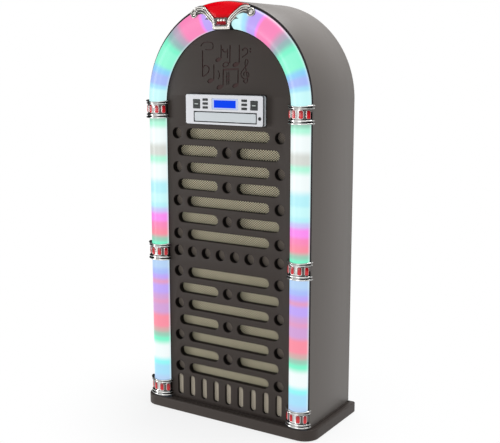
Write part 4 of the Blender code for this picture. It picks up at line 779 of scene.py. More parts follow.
ARCH_STOPS = {
    "left": ((0.04, Glow.PALE_CYAN), (0.07, Glow.PALE_CYAN), (0.10, Glow.SKY), (0.137, Glow.PERIWINKLE),
             (0.19, Glow.PERIWINKLE), (0.235, Glow.AZURE), (0.295, Glow.MINT), (0.40, Glow.MINT),
             (0.44, Glow.DEEP_MINT), (0.505, Glow.TEAL), (0.565, Glow.DUSK), (0.635, Glow.PINK),
             (0.782, Glow.PINK), (0.803, Glow.MAGENTA), (0.828, Glow.LAVENDER)),
    "right": ((0.04, Glow.PALE_CYAN), (0.07, Glow.PALE_CYAN), (0.10, Glow.SKY), (0.135, Glow.PERIWINKLE),
              (0.16, Glow.PERIWINKLE), (0.20, Glow.AZURE), (0.25, Glow.MINT), (0.335, Glow.MINT),
              (0.37, Glow.DEEP_MINT), (0.43, Glow.TEAL), (0.468, Glow.DUSK), (0.535, Glow.PINK),
              (0.648, Glow.PINK), (0.668, Glow.MAGENTA), (0.69, Glow.LAVENDER), (0.745, Glow.LAVENDER),
              (0.80, Glow.SKY), (0.84, Glow.PALE_CYAN)),
}

# The shell's foil is the front's foil painted lighter, as painted light from the right and above
WRAP = ShellFinish("wrap", srgb(100, 95, 91), 0.46, variation=0.12, relief=0.00012, specular=0.25)
FRONT = PanelFinish("front", srgb(54, 47, 43), 0.50, variation=0.16, relief=0.00012, specular=0.18)
BASE = WrapFinish("base", srgb(62, 55, 51), 0.50, variation=0.12, relief=0.00010, specular=0.2)
CAST = CastFinish("crown_metal", srgb(208, 205, 199), 0.30, metallic=1.0, variation=0.04, grain=60.0)
COLLAR = CollarFinish("collar", srgb(212, 212, 210), 0.10, metallic=1.0, variation=0.03, grain=30.0)
LENS = LensFinish("lens", (0.1, 0.1, 0.1), 0.32, specular=0.3)
# The grille's cloth, with painted shade behind the round holes
CLOTH = WeaveFinish("cloth", srgb(208, 199, 171), 0.92, variation=0.08, specular=0.1, shade_holes=True)
VENT_CLOTH = WeaveFinish("vent_cloth", srgb(222, 210, 190), 0.92, variation=0.10, specular=0.1,
                         gap_colour=srgb(112, 105, 92))
SILVER = FasciaFinish("silver", srgb(214, 215, 219), 0.34, variation=0.03, grain=500.0, relief=0.00003)
DOOR = Finish("door", srgb(197, 203, 206), 0.30, variation=0.03, grain=500.0, relief=0.00003)
# Red stones; each collar gives them painted shade at the top and a painted highlight at the lower end
STONE = JewelFinish("stone", srgb(196, 24, 34), 0.14, coat=0.5, glow=0.2, specular=0.3)
# The dome: painted shade at its foot and on its rim
DOME = JewelFinish("dome", srgb(216, 0, 18), 0.20, glow=0.45, low=1.020, high=1.036, specular=0.08,
                   rim=0.85)
WINDOW_STONE = JewelFinish("window_stone", srgb(158, 6, 24), 0.2, glow=0.5, specular=0.15)
KEY = Finish("key", srgb(30, 34, 35), 0.36, coat=0.1, variation=0.08, specular=0.3)
ROCKER = RockerFinish("rocker", srgb(38, 44, 44), 0.36, coat=0.1, specular=0.3)
DISPLAY = DisplayFinish("display", srgb(4, 70, 255), 0.20, specular=0.06)
RUBBER = Finish("rubber", srgb(24, 24, 24), 0.85, variation=0.10, relief=0.00005)
MOULDING = Finish("moulding", srgb(34, 34, 36), 0.42, variation=0.10, relief=0.00003)
STEEL = Finish("steel", srgb(190, 192, 194), 0.28, metallic=1.0, variation=0.05)
PAPER = Finish("paper", srgb(36, 34, 32), 0.88, variation=0.15, relief=0.00008)
CIRCUIT = Finish("circuit", srgb(28, 96, 52), 0.45, coat=0.4, variation=0.15)
STRIP = Finish("strip", srgb(236, 236, 226), 0.50, variation=0.04)


# ---- meshes ----


def make_piece(name: str, bm: bmesh.types.BMesh, finish: Finish | None, angle: float = 40.0,
               merge: float = 1e-6) -> bpy.types.Object:
    """Turn a bmesh into a shaded object at the origin.

    Args:
        name: the piece's name.
        bm: the mesh, which is freed.
        finish: its surface, or None for a scratch object.
        angle: edges sharper than this, in degrees, stay crisp.
        merge: distance within which vertices become one.

    Returns:
        The object, linked to the scene.
    """
    if merge:
        bmesh.ops.remove_doubles(bm, verts=bm.verts, dist=merge)
    bmesh.ops.recalc_face_normals(bm, faces=bm.faces)
    mesh = bpy.data.meshes.new(name)
    bm.to_mesh(mesh)
    bm.free()
    mesh.shade_smooth()
    mesh.set_sharp_from_angle(angle=math.radians(angle))
    made = bpy.data.objects.new(name, mesh)
    if finish is not None:
        mesh.materials.append(finish.build())
    bpy.context.scene.collection.objects.link(made)
    return made


def add_loft(bm: bmesh.types.BMesh, loops: Sequence[Sequence[Point3]], closed: bool = False,
             caps: bool = True, ring: bool = True) -> None:
    """Skin a row of equal loops.

    Args:
        bm: the mesh to add to.
        loops: the loops, in order.
        closed: joins the last loop to the first.
        caps: fills both ends of an open row.
        ring: joins each loop's last point to its first.
    """
    rows = [[bm.verts.new(point) for point in loop] for loop in loops]
    count = len(rows[0])
    pairs = list(zip(rows, rows[1:]))
    if closed:
        pairs.append((rows[-1], rows[0]))
    for low, high in pairs:
        for i in range(count if ring else count - 1):
            j = (i + 1) % count
            bm.faces.new((low[i], low[j], high[j], high[i]))
    if caps and not closed:
        bm.faces.new(rows[0])
        bm.faces.new(rows[-1])


def add_dome(bm: bmesh.types.BMesh, centre: Vector, across: Vector, upright: Vector, outward: Vector,
             sides: int = 20, levels: int = 5) -> None:
    """A closed lens-shaped boss: an ellipse that swells outward.

    Args:
        bm: the mesh to add to.
        centre: middle of its base.
        across: half-axis of the ellipse.
        upright: the other half-axis.
        outward: height at the middle, as a vector.
        sides: points round it.
        levels: rings from the rim to the top.
    """
    rings = []
    for level in range(levels):
        turn = math.pi / 2 * level / levels
        ring = []
        for i in range(sides):
            angle = math.tau * i / sides
            spread = across * math.cos(angle) + upright * math.sin(angle)
            ring.append(bm.verts.new(centre + spread * math.cos(turn) + outward * math.sin(turn)))
        rings.append(ring)
    for low, high in zip(rings, rings[1:]):
        for i in range(sides):
            bm.faces.new((low[i], low[(i + 1) % sides], high[(i + 1) % sides], high[i]))
    top = bm.verts.new(centre + outward)
    for i in range(sides):
        bm.faces.new((rings[-1][i], rings[-1][(i + 1) % sides], top))
    bm.faces.new(rings[0])


def lay_map(bm: bmesh.types.BMesh, share: Callable[[bmesh.types.BMVert], Point2]) -> None:
    """Write the UV map from each corner's vertex.

    Args:
        bm: the mesh.
        share: gives a vertex's place on the map.
    """
    layer = bm.loops.layers.uv.active or bm.loops.layers.uv.new("UVMap")
    bm.verts.index_update()
    for face in bm.faces:
        for corner in face.loops:
            corner[layer].uv = share(corner.vert)


def smooth_path(points: Sequence[Point2], steps: int, closed: bool = False) -> list[Point2]:
    """Run a smooth curve through points.

    Args:
        points: the points, in order.
        steps: parts that each span is cut into.
        closed: goes on from the last point to the first.

    Returns:
        The finer row of points.
    """
    count = len(points)
    made = []
    for i in range(count if closed else count - 1):
        span = [points[(i + k) % count] if closed else points[min(max(i + k, 0), count - 1)]
                for k in (-1, 0, 1, 2)]
        for step in range(steps):
            t = step / steps
            made.append(tuple(
                (2 * b + (c - a) * t + (2 * a - 5 * b + 4 * c - d) * t * t
                 + (3 * b - a - 3 * c + d) * t ** 3) / 2 for a, b, c, d in zip(*span)))
    if not closed:
        made.append(points[-1])
    return made


def arc(centre: Point2, radius: float, start: float, end: float, steps: int) -> list[Point2]:
    """Points along an arc, both ends included, angles in degrees."""
    turns = [math.radians(start + (end - start) * i / steps) for i in range(steps + 1)]
    return [(centre[0] + radius * math.cos(t), centre[1] + radius * math.sin(t)) for t in turns]


def circle(centre: Point2, radius: float, steps: int = 36) -> list[Point2]:
    """A round outline."""
    return arc(centre, radius, 0.0, 360.0, steps)[:-1]


def slot(centre: Point2, width: float, height: float, steps: int = 16) -> list[Point2]:
    """A slot with round ends along its longer side.

    Args:
        centre: its middle.
        width: across.
        height: upright.
        steps: edges of each end.

    Returns:
        The outline.
    """
    radius = min(width, height) / 2
    reach_u = width / 2 - radius
    reach_v = height / 2 - radius
    start = -90.0 if width > height else 0.0
    u, v = centre
    points = arc((u + reach_u, v + reach_v), radius, start, start + 180.0, steps)
    return points + arc((u - reach_u, v - reach_v), radius, start + 180.0, start + 360.0, steps)


def rounded(centre: Point2, width: float, height: float, radius: float, steps: int = 6) -> list[Point2]:
    """A rectangle with round corners.

    Args:
        centre: its middle.
        width: across.
        height: upright.
        radius: of the corners.
        steps: edges of each corner.

    Returns:
        The outline.
    """
    u = width / 2 - radius
    v = height / 2 - radius
    points = []
    for du, dv, start in ((u, v, 0.0), (-u, v, 90.0), (-u, -v, 180.0), (u, -v, 270.0)):
        points += arc((centre[0] + du, centre[1] + dv), radius, start, start + 90.0, steps)
    return points


def tombstone(half: float, base: float, steps: int = 96) -> list[Point2]:
    """Upright sides under a half-round arch."""
    return [(-half, base)] + arc((0.0, SPRINGLINE), half, 180.0, 0.0, steps) + [(half, base)]


def signed_area(outline: Sequence[Point2]) -> float:
    """Twice the area of an outline, positive when it runs anticlockwise."""
    return sum(a[0] * b[1] - b[0] * a[1] for a, b in zip(outline, [*outline[1:], outline[0]]))


def add_plate(bm: bmesh.types.BMesh, outer: Sequence[Point2], holes: Sequence[Sequence[Point2]],
              front: float, back: float, edge: float, segments: int = 2) -> None:
    """A flat plate with holes and eased edges, stood up in the XZ plane.

    Args:
        bm: the mesh to add to.
        outer: its outline.
        holes: the outlines of its holes.
        front: Y of its front face.
        back: Y of its back face.
        edge: radius of the eased edges.
        segments: facets of the edge.
    """
    curve = bpy.data.curves.new("plate", "CURVE")
    curve.dimensions = "2D"
    curve.fill_mode = "BOTH"
    curve.extrude = (back - front) / 2 - edge
    curve.bevel_depth = edge
    curve.bevel_resolution = segments
    curve.offset = -edge
    for number, outline in enumerate([outer, *holes]):
        points = list(outline)
        if (signed_area(points) > 0) != (number == 0):
            points.reverse()
        spline = curve.splines.new("POLY")
        spline.points.add(len(points) - 1)
        for place, (u, v) in zip(spline.points, points):
            place.co = (u, v, 0.0, 1.0)
        spline.use_cyclic_u = True
    scratch = bpy.data.objects.new("plate", curve)
    bpy.context.scene.collection.objects.link(scratch)
    graph = bpy.context.evaluated_depsgraph_get()
    mesh = bpy.data.meshes.new_from_object(scratch.evaluated_get(graph))
    middle = (front + back) / 2
    mesh.transform(Matrix(((1, 0, 0, 0), (0, 0, -1, middle), (0, 1, 0, 0), (0, 0, 0, 1))))
    bm.from_mesh(mesh)
    bpy.data.objects.remove(scratch, do_unlink=True)
    bpy.data.curves.remove(curve)
    bpy.data.meshes.remove(mesh)


def stand(outline: Iterable[Point2], y: float) -> list[Point3]:
    """Stand an outline of X and Z up at a depth."""
    return [(u, y, v) for u, v in outline]


class Recipe:
    """A Geometry Nodes tree with named inputs, whose result becomes a plain mesh."""

    KINDS: ClassVar[dict[type, str]] = {float: "NodeSocketFloat", int: "NodeSocketInt",
                                        bpy.types.Object: "NodeSocketObject"}

    def __init__(self, name: str, values: dict[str, object]) -> None:
        """Start the tree.

        Args:
            name: the tree's name.
            values: its inputs, by their names.
        """
        self.tree = bpy.data.node_groups.new(name, "GeometryNodeTree")
        self.graph = Graph(self.tree)
        sockets = self.tree.interface
        sockets.new_socket("Base", in_out="INPUT", socket_type="NodeSocketGeometry")
        self.values: dict[str, object] = {}
        for title, value in values.items():
            socket = sockets.new_socket(title, in_out="INPUT", socket_type=self.KINDS[type(value)])
            self.values[socket.identifier] = value
        sockets.new_socket("Geometry", in_out="OUTPUT", socket_type="NodeSocketGeometry")
        self.source = self.tree.nodes.new("NodeGroupInput")

    def input(self, title: str) -> Value:
        """One of the tree's inputs."""
        return Value(self.graph, self.source.outputs[title])

    def bake(self, result: Value, base: bpy.types.Mesh, finish: Finish | None) -> bpy.types.Mesh:
        """Close the tree, run it on a base mesh and keep the result.

        Args:
            result: the geometry that the tree makes.
            base: the mesh that it starts from, which is removed.
            finish: the surface of what it makes, or None for a scratch mesh.

        Returns:
            The plain mesh.
        """
        material = finish.build() if finish else bpy.data.materials.new("scratch")
        real = self.graph.node("GeometryNodeRealizeInstances", {}, {0: result})
        paint = self.graph.node("GeometryNodeSetMaterial", {}, {"Geometry": real, "Material": material})
        self.graph.feed(self.tree.nodes.new("NodeGroupOutput").inputs[0], paint)
        carrier = bpy.data.objects.new(self.tree.name, base)
        bpy.context.scene.collection.objects.link(carrier)
        modifier = carrier.modifiers.new(self.tree.name, "NODES")
        modifier.node_group = self.tree
        for identifier, value in self.values.items():
            modifier[identifier] = value
        view = bpy.context.evaluated_depsgraph_get()
        mesh = bpy.data.meshes.new_from_object(carrier.evaluated_get(view))
        if not mesh.materials:
            mesh.materials.append(material)
        bpy.data.objects.remove(carrier, do_unlink=True)
        bpy.data.meshes.remove(base)
        bpy.data.node_groups.remove(self.tree)
        return mesh


def repeat(name: str, model: bpy.types.Object, places: Sequence[tuple[Vector, Vector]],
           finish: Finish) -> bpy.types.Object:
    """Copy a model to many places with Geometry Nodes.

    Args:
        name: the new piece's name.
        model: what is repeated, modelled at the origin with its front to -Y. It is removed.
        places: each copy's position and the direction that its front turns to.
        finish: the copies' surface.

    Returns:
        One piece with every copy.
    """
    points = bpy.data.meshes.new("places")
    points.from_pydata([place for place, _ in places], [], [])
    turns = points.attributes.new("turn", "FLOAT_VECTOR", "POINT")
    for item, (_, direction) in zip(turns.data, places):
        item.vector = direction.to_track_quat("-Y", "Z").to_euler()
    recipe = Recipe("repeat", {"Model": model, "Scale": 1.0})
    graph = recipe.graph
    shape = graph.node("GeometryNodeObjectInfo", {}, {"Object": recipe.input("Model")}, "Geometry")
    turn = graph.node("GeometryNodeInputNamedAttribute", {"data_type": "FLOAT_VECTOR"},
                      {"Name": "turn"})
    rotation = graph.node("FunctionNodeEulerToRotation", {}, {0: turn})
    copies = graph.node("GeometryNodeInstanceOnPoints", {},
                        {"Points": recipe.input("Base"), "Instance": shape, "Rotation": rotation,
                         "Scale": recipe.input("Scale")})
    made = bpy.data.objects.new(name, recipe.bake(copies, points, finish))
    made.data.name = name
    bpy.context.scene.collection.objects.link(made)
    bpy.data.objects.remove(model, do_unlink=True)
    return made


def add_piping(bm: bmesh.types.BMesh, paths: Sequence[Sequence[Point3]], radius: float,
               flatness: float = 1.0, closed: bool = False, sides: int = 10) -> None:
    """Lay round piping along paths with Geometry Nodes.

    Args:
        bm: the mesh to add to.
        paths: the paths.
        radius: the piping's radius.
        flatness: its height off a face that looks to -Y, as a share of the radius.
        closed: joins each path's ends.
        sides: points round the piping.
    """
    points, edges = [], []
    level = paths[0][0][1] if flatness != 1.0 else 0.0
    for path in paths:
        first = len(points)
        points += [(x, y - level, z) for x, y, z in path]
        edges += [(i, i + 1) for i in range(first, len(points) - 1)]
        if closed:
            edges.append((len(points) - 1, first))
    base = bpy.data.meshes.new("paths")
    base.from_pydata(points, edges, [])
    recipe = Recipe("piping", {"Radius": radius, "Flatness": flatness, "Sides": sides})
    graph = recipe.graph
    curve = graph.node("GeometryNodeMeshToCurve", {}, {"Mesh": recipe.input("Base")})
    section = graph.node("GeometryNodeCurvePrimitiveCircle", {},
                         {"Resolution": recipe.input("Sides"), "Radius": recipe.input("Radius")})
    swept = graph.node("GeometryNodeCurveToMesh", {},
                       {"Curve": curve, "Profile Curve": section, "Fill Caps": True})
    scale = graph.node("ShaderNodeCombineXYZ", {}, {0: 1.0, 1: recipe.input("Flatness"), 2: 1.0})
    flat = graph.node("GeometryNodeTransform", {}, {"Geometry": swept, "Scale": scale})
    mesh = recipe.bake(flat, base, None)
    mesh.transform(Matrix.Translation((0.0, level, 0.0)))
    bm.from_mesh(mesh)
    scratch = mesh.materials[0]
    bpy.data.meshes.remove(mesh)
    bpy.data.materials.remove(scratch)


def publish(piece: bpy.types.Object, body: str, slot_name: str, *nodes: str) -> None:
    """Attach a finished piece to its body, hide the CAD nodes that it stands for, and log it.

    Args:
        piece: the object.
        body: the body that it moves with.
        slot_name: the record's material slot; not used.
        nodes: the CAD nodes that it stands for.
    """
    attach(piece, body)
    if nodes:
        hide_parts(*nodes)
    LOG.info("%s rides on %s, %d faces", piece.name, body, len(piece.data.polygons))


# ---- sub-assemblies ----


@dataclass
class Cabinet:
    """The wrapped shell, its plinth and the rear panel's screws."""

    edge: float = 0.0012
    rebate: float = 0.006
    side_overhang: float = 0.018
    half_depth: float = 0.124
    front_radius: float = 0.040
    rear_radius: float = 0.003
    round_over: float = 0.004
    foot_gap: float = 0.0028
    quirk: Point3 = (0.0105, 0.003, 0.0015)
    screw_rings: tuple[Point2, ...] = ((0.0032, 0.0), (0.0032, -0.0002), (0.0026, -0.0007),
                                       (0.0001, -0.0009))
    cross: Point2 = (0.0018, 0.0003)
    cross_depths: Point2 = (-0.0012, -0.0004)
    screw_inset: float = 0.004
    screw_low: float = 0.06
    screw_pitch: float = 0.153
    screw_angles: tuple[float, ...] = (10, 50, 90, 130, 170)

    def shell(self) -> None:
        """Sweep the shell's section round the arch."""
        ease = self.edge
        rear = BACK_Y - self.rebate - GAP
        wall = CABINET_HALF - INNER_HALF
        section = [(0.0, FACE_Y + ease), (ease / 3, FACE_Y + ease / 3), (ease, FACE_Y),
                   (wall - ease / 2, FACE_Y), (wall, FACE_Y + ease / 2), (wall, rear),
                   (wall - self.rebate, rear), (wall - self.rebate, BACK_Y),
                   (ease, BACK_Y), (ease / 3, BACK_Y - ease / 3), (0.0, BACK_Y - ease)]
        base = PLINTH_TOP + GAP
        paths = [tombstone(CABINET_HALF - inset, base) for inset, _ in section]
        loops = [[(path[i][0], y, path[i][1]) for path, (_, y) in zip(paths, section)]
                 for i in range(len(paths[0]))]
        bm = bmesh.new()
        add_loft(bm, loops)
        publish(make_piece("shell_wrap", bm, WRAP), "cabinet", "cabinet", "cabinet_shell")

    def plan(self, inset: float) -> list[Point2]:
        """The plinth's plan, moved in by an inset.

        Args:
            inset: how far inside the plinth's faces.

        Returns:
            X and Y round the plan.
        """
        half = CABINET_HALF + self.side_overhang - inset
        depth = self.half_depth - inset
        front = self.front_radius - inset
        rear = max(self.rear_radius - inset, self.rear_radius / 4)
        points = arc((-half + front, -depth + front), front, 180.0, 270.0, 20)
        points += arc((half - front, -depth + front), front, 270.0, 360.0, 20)
        points += arc((half - rear, depth - rear), rear, 0.0, 90.0, 5)
        return points + arc((-half + rear, depth - rear), rear, 90.0, 180.0, 5)

    def plinth(self) -> None:
        """The base with its rounded edge and its quirk."""
        start, width, depth = self.quirk
        radius = self.round_over
        rows = [(0.0, self.foot_gap)]
        rows += [(radius - u, PLINTH_TOP - radius + v)
                 for u, v in arc((0.0, 0.0), radius, 0.0, 90.0, 6)]
        rows += [(start, PLINTH_TOP), (start, PLINTH_TOP - depth), (start + width, PLINTH_TOP - depth),
                 (start + width, PLINTH_TOP)]
        bm = bmesh.new()
        add_loft(bm, [[(x, y, z) for x, y in self.plan(inset)] for inset, z in rows])
        publish(make_piece("plinth", bm, BASE), "cabinet", "panel", "base_plinth")

    def screws(self) -> None:
        """Countersunk cross-head screws round the rear panel."""
        bm = bmesh.new()
        add_loft(bm, [stand(circle((0.0, 0.0), radius, 16), y) for radius, y in self.screw_rings])
        long, wide = self.cross
        for turn in (0.0, math.pi / 2):
            bar = Matrix.Rotation(turn, 3, "Y")
            placed = [bar @ Vector((u * long, y, v * wide)) for y in self.cross_depths
                      for u, v in ((-1, -1), (1, -1), (1, 1), (-1, 1))]
            add_loft(bm, [placed[:4], placed[4:]])
        model = make_piece("screw", bm, None)
        half = INNER_HALF - self.screw_inset
        outline = [(side * half, self.screw_low + self.screw_pitch * i) for side in (-1, 1)
                   for i in range(5)]
        outline += [(half * math.cos(t), SPRINGLINE + half * math.sin(t))
                    for t in (math.radians(angle) for angle in self.screw_angles)]
        places = [(Vector((x, BACK_Y, z)), Vector((0.0, 1.0, 0.0))) for x, z in outline]
        publish(repeat("rear_screws", model, places, STEEL), "cabinet", "steel")

    def build(self) -> None:
        """Make every piece."""
        self.shell()
        self.plinth()
        self.screws()


@dataclass
class Carving:
    """Musical signs cut into the arch, drawn in millimetres across and upward."""

    depth: float = 0.0014
    unit: float = 0.001

    strokes: ClassVar[tuple[tuple[float, tuple[Point2, ...]], ...]] = (
        (2.2, ((-75.0, 957.5), (-71.5, 963.5), (-64.0, 967.2), (-52.0, 968.2), (-41.5, 966.0),
               (-38.6, 959.5), (-40.5, 951.8), (-50.0, 949.6), (-61.0, 950.2))),
        (3.0, ((-70.0, 948.0), (-70.6, 884.0))),
        (2.8, ((-69.5, 906.0), (-62.0, 912.0), (-53.5, 909.0), (-50.6, 902.0), (-54.5, 894.0),
               (-61.0, 888.5), (-70.0, 884.5))),
        (2.8, ((-36.4, 914.0), (-37.0, 875.0))),
        (2.8, ((-14.6, 961.6), (-15.2, 927.6))),
        (2.4, ((-9.8, 947.5), (-3.5, 943.8), (2.4, 946.0), (4.6, 951.8))),
        (2.4, ((4.2, 950.0), (3.4, 929.6))),
        (3.0, ((11.4, 960.5), (10.2, 917.5))),
        (2.8, ((38.0, 961.2), (37.4, 915.5))),
        (2.4, ((-24.5, 899.5), (-20.8, 893.5), (-20.6, 885.5), (-24.0, 878.5))),
        (4.6, ((-10.4, 901.5), (36.0, 904.2))),
        (3.0, ((-8.8, 902.0), (-9.8, 860.5))),
        (3.0, ((34.4, 903.0), (33.6, 866.5))),
        (2.2, ((1.8, 896.5), (1.4, 865.5))),
        (2.2, ((7.4, 897.5), (7.0, 866.5))),
        (2.8, ((-1.4, 884.6), (10.6, 887.2))),
        (2.8, ((-1.4, 874.8), (10.6, 877.4))),
        (2.4, ((47.0, 948.0), (54.5, 953.5), (61.5, 948.5), (59.0, 939.5), (45.8, 931.6))),
        (2.3, ((50.4, 874.6), (55.2, 870.6), (60.4, 873.4), (60.8, 880.0), (56.2, 905.2), (54.0, 917.4),
               (56.2, 925.6), (60.2, 926.6))),
        (2.4, ((59.6, 927.0), (62.4, 921.0), (59.0, 912.6), (48.8, 902.4), (42.2, 892.9), (46.2, 883.8),
               (55.6, 880.6), (63.8, 885.6), (64.0, 893.6), (57.2, 897.8), (50.6, 894.0), (51.6, 887.6))),
    )
    heads: ClassVar[tuple[tuple[float, float, float, float], ...]] = (
        (-47.2, 874.6, 9.4, 5.2), (-23.4, 925.6, 8.8, 4.8), (27.4, 914.4, 9.6, 5.4),
        (-19.6, 859.6, 9.7, 5.4), (26.2, 864.2, 9.5, 4.6), (-9.6, 949.6, 3.0, 2.6),
        (48.2, 949.4, 3.0, 2.4), (69.6, 951.6, 2.2, 2.2), (69.2, 945.0, 2.2, 2.2),
        (51.0, 875.6, 2.8, 2.6))
    open_head: tuple[float, float, float, float] = (-1.4, 914.2, 10.4, 6.6)
    open_share: float = 0.62

    def ellipse(self, x: float, z: float, wide: float, high: float, tilt: float = 20.0) -> list[Point2]:
        """A tilted oval.

        Args:
            x: its middle's X, in millimetres.
            z: its middle's Z.
            wide: its width.
            high: its height.
            tilt: degrees.

        Returns:
            The outline in metres.
        """
        turn = math.radians(tilt)
        points = []
        for a, b in circle((0.0, 0.0), 1.0, 22):
            a, b = a * wide, b * high
            points.append(((x + a * math.cos(turn) - b * math.sin(turn)) * self.unit,
                           (z + a * math.sin(turn) + b * math.cos(turn)) * self.unit))
        return points

    def ribbon(self, bm: bmesh.types.BMesh, width: float, path: Sequence[Point2]) -> None:
        """Add a stroke of even width.

        Args:
            bm: the mesh to add to.
            width: in millimetres.
            path: points in millimetres.
        """
        fine = smooth_path(path, 5) if len(path) > 2 else list(path)
        near, far = [], []
        for i, (u, v) in enumerate(fine):
            before, after = fine[max(i - 1, 0)], fine[min(i + 1, len(fine) - 1)]
            du, dv = after[0] - before[0], after[1] - before[1]
            scale = width / 2 / math.hypot(du, dv)
            near.append(((u - dv * scale) * self.unit, (v + du * scale) * self.unit))
            far.append(((u + dv * scale) * self.unit, (v - du * scale) * self.unit))
        self.extrude(bm, near + far[::-1])

    def extrude(self, bm: bmesh.types.BMesh, outline: Sequence[Point2]) -> None:
        """Add a closed outline as a block through the panel's face."""
        add_loft(bm, [stand(outline, FACE_Y - self.depth), stand(outline, FACE_Y + self.depth)])

    def cutter(self) -> bpy.types.Object:
        """One cutter of every sign, whose bars may cross.

        Returns:
            The cutter, an object without a material.
        """
        bm = bmesh.new()
        for width, path in self.strokes:
            self.ribbon(bm, width, path)
        for head in self.heads:
            self.extrude(bm, self.ellipse(*head))
        x, z, wide, high = self.open_head
        rings = [stand(self.ellipse(x, z, wide * share, high * share), y)
                 for share, y in ((1.0, FACE_Y - self.depth), (1.0, FACE_Y + self.depth),
                                  (self.open_share, FACE_Y + self.depth),
                                  (self.open_share, FACE_Y - self.depth))]
        add_loft(bm, rings, closed=True)
        return make_piece("carving_cutter", bm, None, merge=0.0)

    def cut(self, target: bpy.types.Object) -> None:
        """Cut the signs into a panel.

        Args:
            target: the panel, whose mesh is replaced.
        """
        tool = self.cutter()
        modifier = target.modifiers.new("carve", "BOOLEAN")
        modifier.operation = "DIFFERENCE"
        modifier.solver = "EXACT"
        modifier.use_self = True
        modifier.object = tool
        graph = bpy.context.evaluated_depsgraph_get()
        mesh = bpy.data.meshes.new_from_object(target.evaluated_get(graph))
        target.modifiers.clear()
        target.data = mesh
        bpy.data.objects.remove(tool, do_unlink=True)


@dataclass
class Grille:
    """The front panel with its holes, slots and carving, and the cloth behind them."""

    edge: float = 0.0009
    top_rows: Point2 = (0.7417, 0.3807)
    row_pitch: float = 0.0434
    rows: int = 7
    half_span: float = 0.152
    hole_radius: float = 0.014
    slot_height: float = 0.027
    long_slot: float = 0.245
    short_slot: float = 0.1225
    short_centre: float = 0.0898
    middle_row: float = 0.436
    middle_holes: int = 8
    upright_slots: int = 9
    upright_low: float = 0.0405
    upright_high: float = 0.097
    upright_width: float = 0.017
    player_window: Point3 = (0.196, 0.7715, 0.8382)
    cloth_margin: float = 0.010
    cloth_thickness: float = 0.0010
    cloth_bow: float = 0.0002
    cloth_cells: tuple[int, int] = (40, 60)
    foot_margin: float = 0.0047
    foot_depth: float = 0.0073
    crisp_angle: float = 30.0

    def spread(self, count: int) -> list[float]:
        """Even places over the grille's span."""
        return [self.half_span * (2 * i / (count - 1) - 1) for i in range(count)]

    def openings(self) -> list[list[Point2]]:
        """Outlines of every opening in the panel.

        Returns:
            One outline for each opening.
        """
        found = []
        for top in self.top_rows:
            for row in range(self.rows):
                z = top - row * self.row_pitch
                if row % 2 == 0:
                    found.append(slot((0.0, z), self.long_slot, self.slot_height))
                    holes = (-self.half_span, self.half_span)
                else:
                    found += [slot((side * self.short_centre, z), self.short_slot, self.slot_height)
                              for side in (-1, 1)]
                    holes = (0.0,)
                found += [circle((x, z), self.hole_radius) for x in holes]
        found += [circle((x, self.middle_row), self.hole_radius)
                  for x in self.spread(self.middle_holes)]
        middle = (self.upright_low + self.upright_high) / 2
        height = self.upright_high - self.upright_low
        found += [slot((x, middle), self.upright_width, height)
                  for x in self.spread(self.upright_slots)]
        width, low, high = self.player_window
        found.append(rounded((0.0, (low + high) / 2), width, high - low, 0.002, 2))
        return found

    def cloth(self, name: str, finish: Finish, span: Point3, front: float, node: str) -> None:
        """A stretched cloth with a slight bow between its glued edges.

        Args:
            name: the piece's name.
            finish: its surface.
            span: half width, lowest and highest Z.
            front: Y of its front.
            node: the CAD node that it stands for.
        """
        half, low, high = span
        columns, lines = self.cloth_cells
        loops = []
        for j in range(lines + 1):
            v = j / lines
            near, far = [], []
            for i in range(columns + 1):
                u = i / columns
                bow = self.cloth_bow * math.sin(math.pi * u) * math.sin(math.pi * v)
                place = (half * (2 * u - 1), front + bow, low + (high - low) * v)
                near.append(place)
                far.append((place[0], place[1] + self.cloth_thickness, place[2]))
            loops.append(near + far[::-1])
        bm = bmesh.new()
        add_loft(bm, loops)
        piece = make_piece(name, bm, finish)
        publish(piece, "cabinet", "cloth", node)

    def build(self) -> None:
        """Make the panel and both cloths."""
        bm = bmesh.new()
        outline = tombstone(INNER_HALF - GAP, PLINTH_TOP + GAP)
        add_plate(bm, outline, self.openings(), FACE_Y, BAFFLE_BACK, self.edge)
        panel = make_piece("front_panel", bm, None, self.crisp_angle)
        Carving().cut(panel)
        panel.data.materials.clear()
        panel.data.materials.append(FRONT.build())
        panel.data.shade_smooth()
        panel.data.set_sharp_from_angle(angle=math.radians(self.crisp_angle))
        publish(panel, "cabinet", "panel", "front_baffle")
        reach = self.half_span + self.hole_radius + self.cloth_margin
        low = self.top_rows[1] - (self.rows - 1) * self.row_pitch - self.hole_radius - GAP
        high = self.top_rows[0] + self.hole_radius + GAP
        self.cloth("grille_cloth", CLOTH, (reach, low, high), BAFFLE_BACK + GAP, "speaker_cloth")
        half = self.half_span + self.upright_width + self.foot_margin
        span = (half, self.upright_low - self.foot_margin, self.upright_high + self.foot_margin)
        self.cloth("foot_cloth", VENT_CLOTH, span, FACE_Y + self.foot_depth, "vent_cloth")


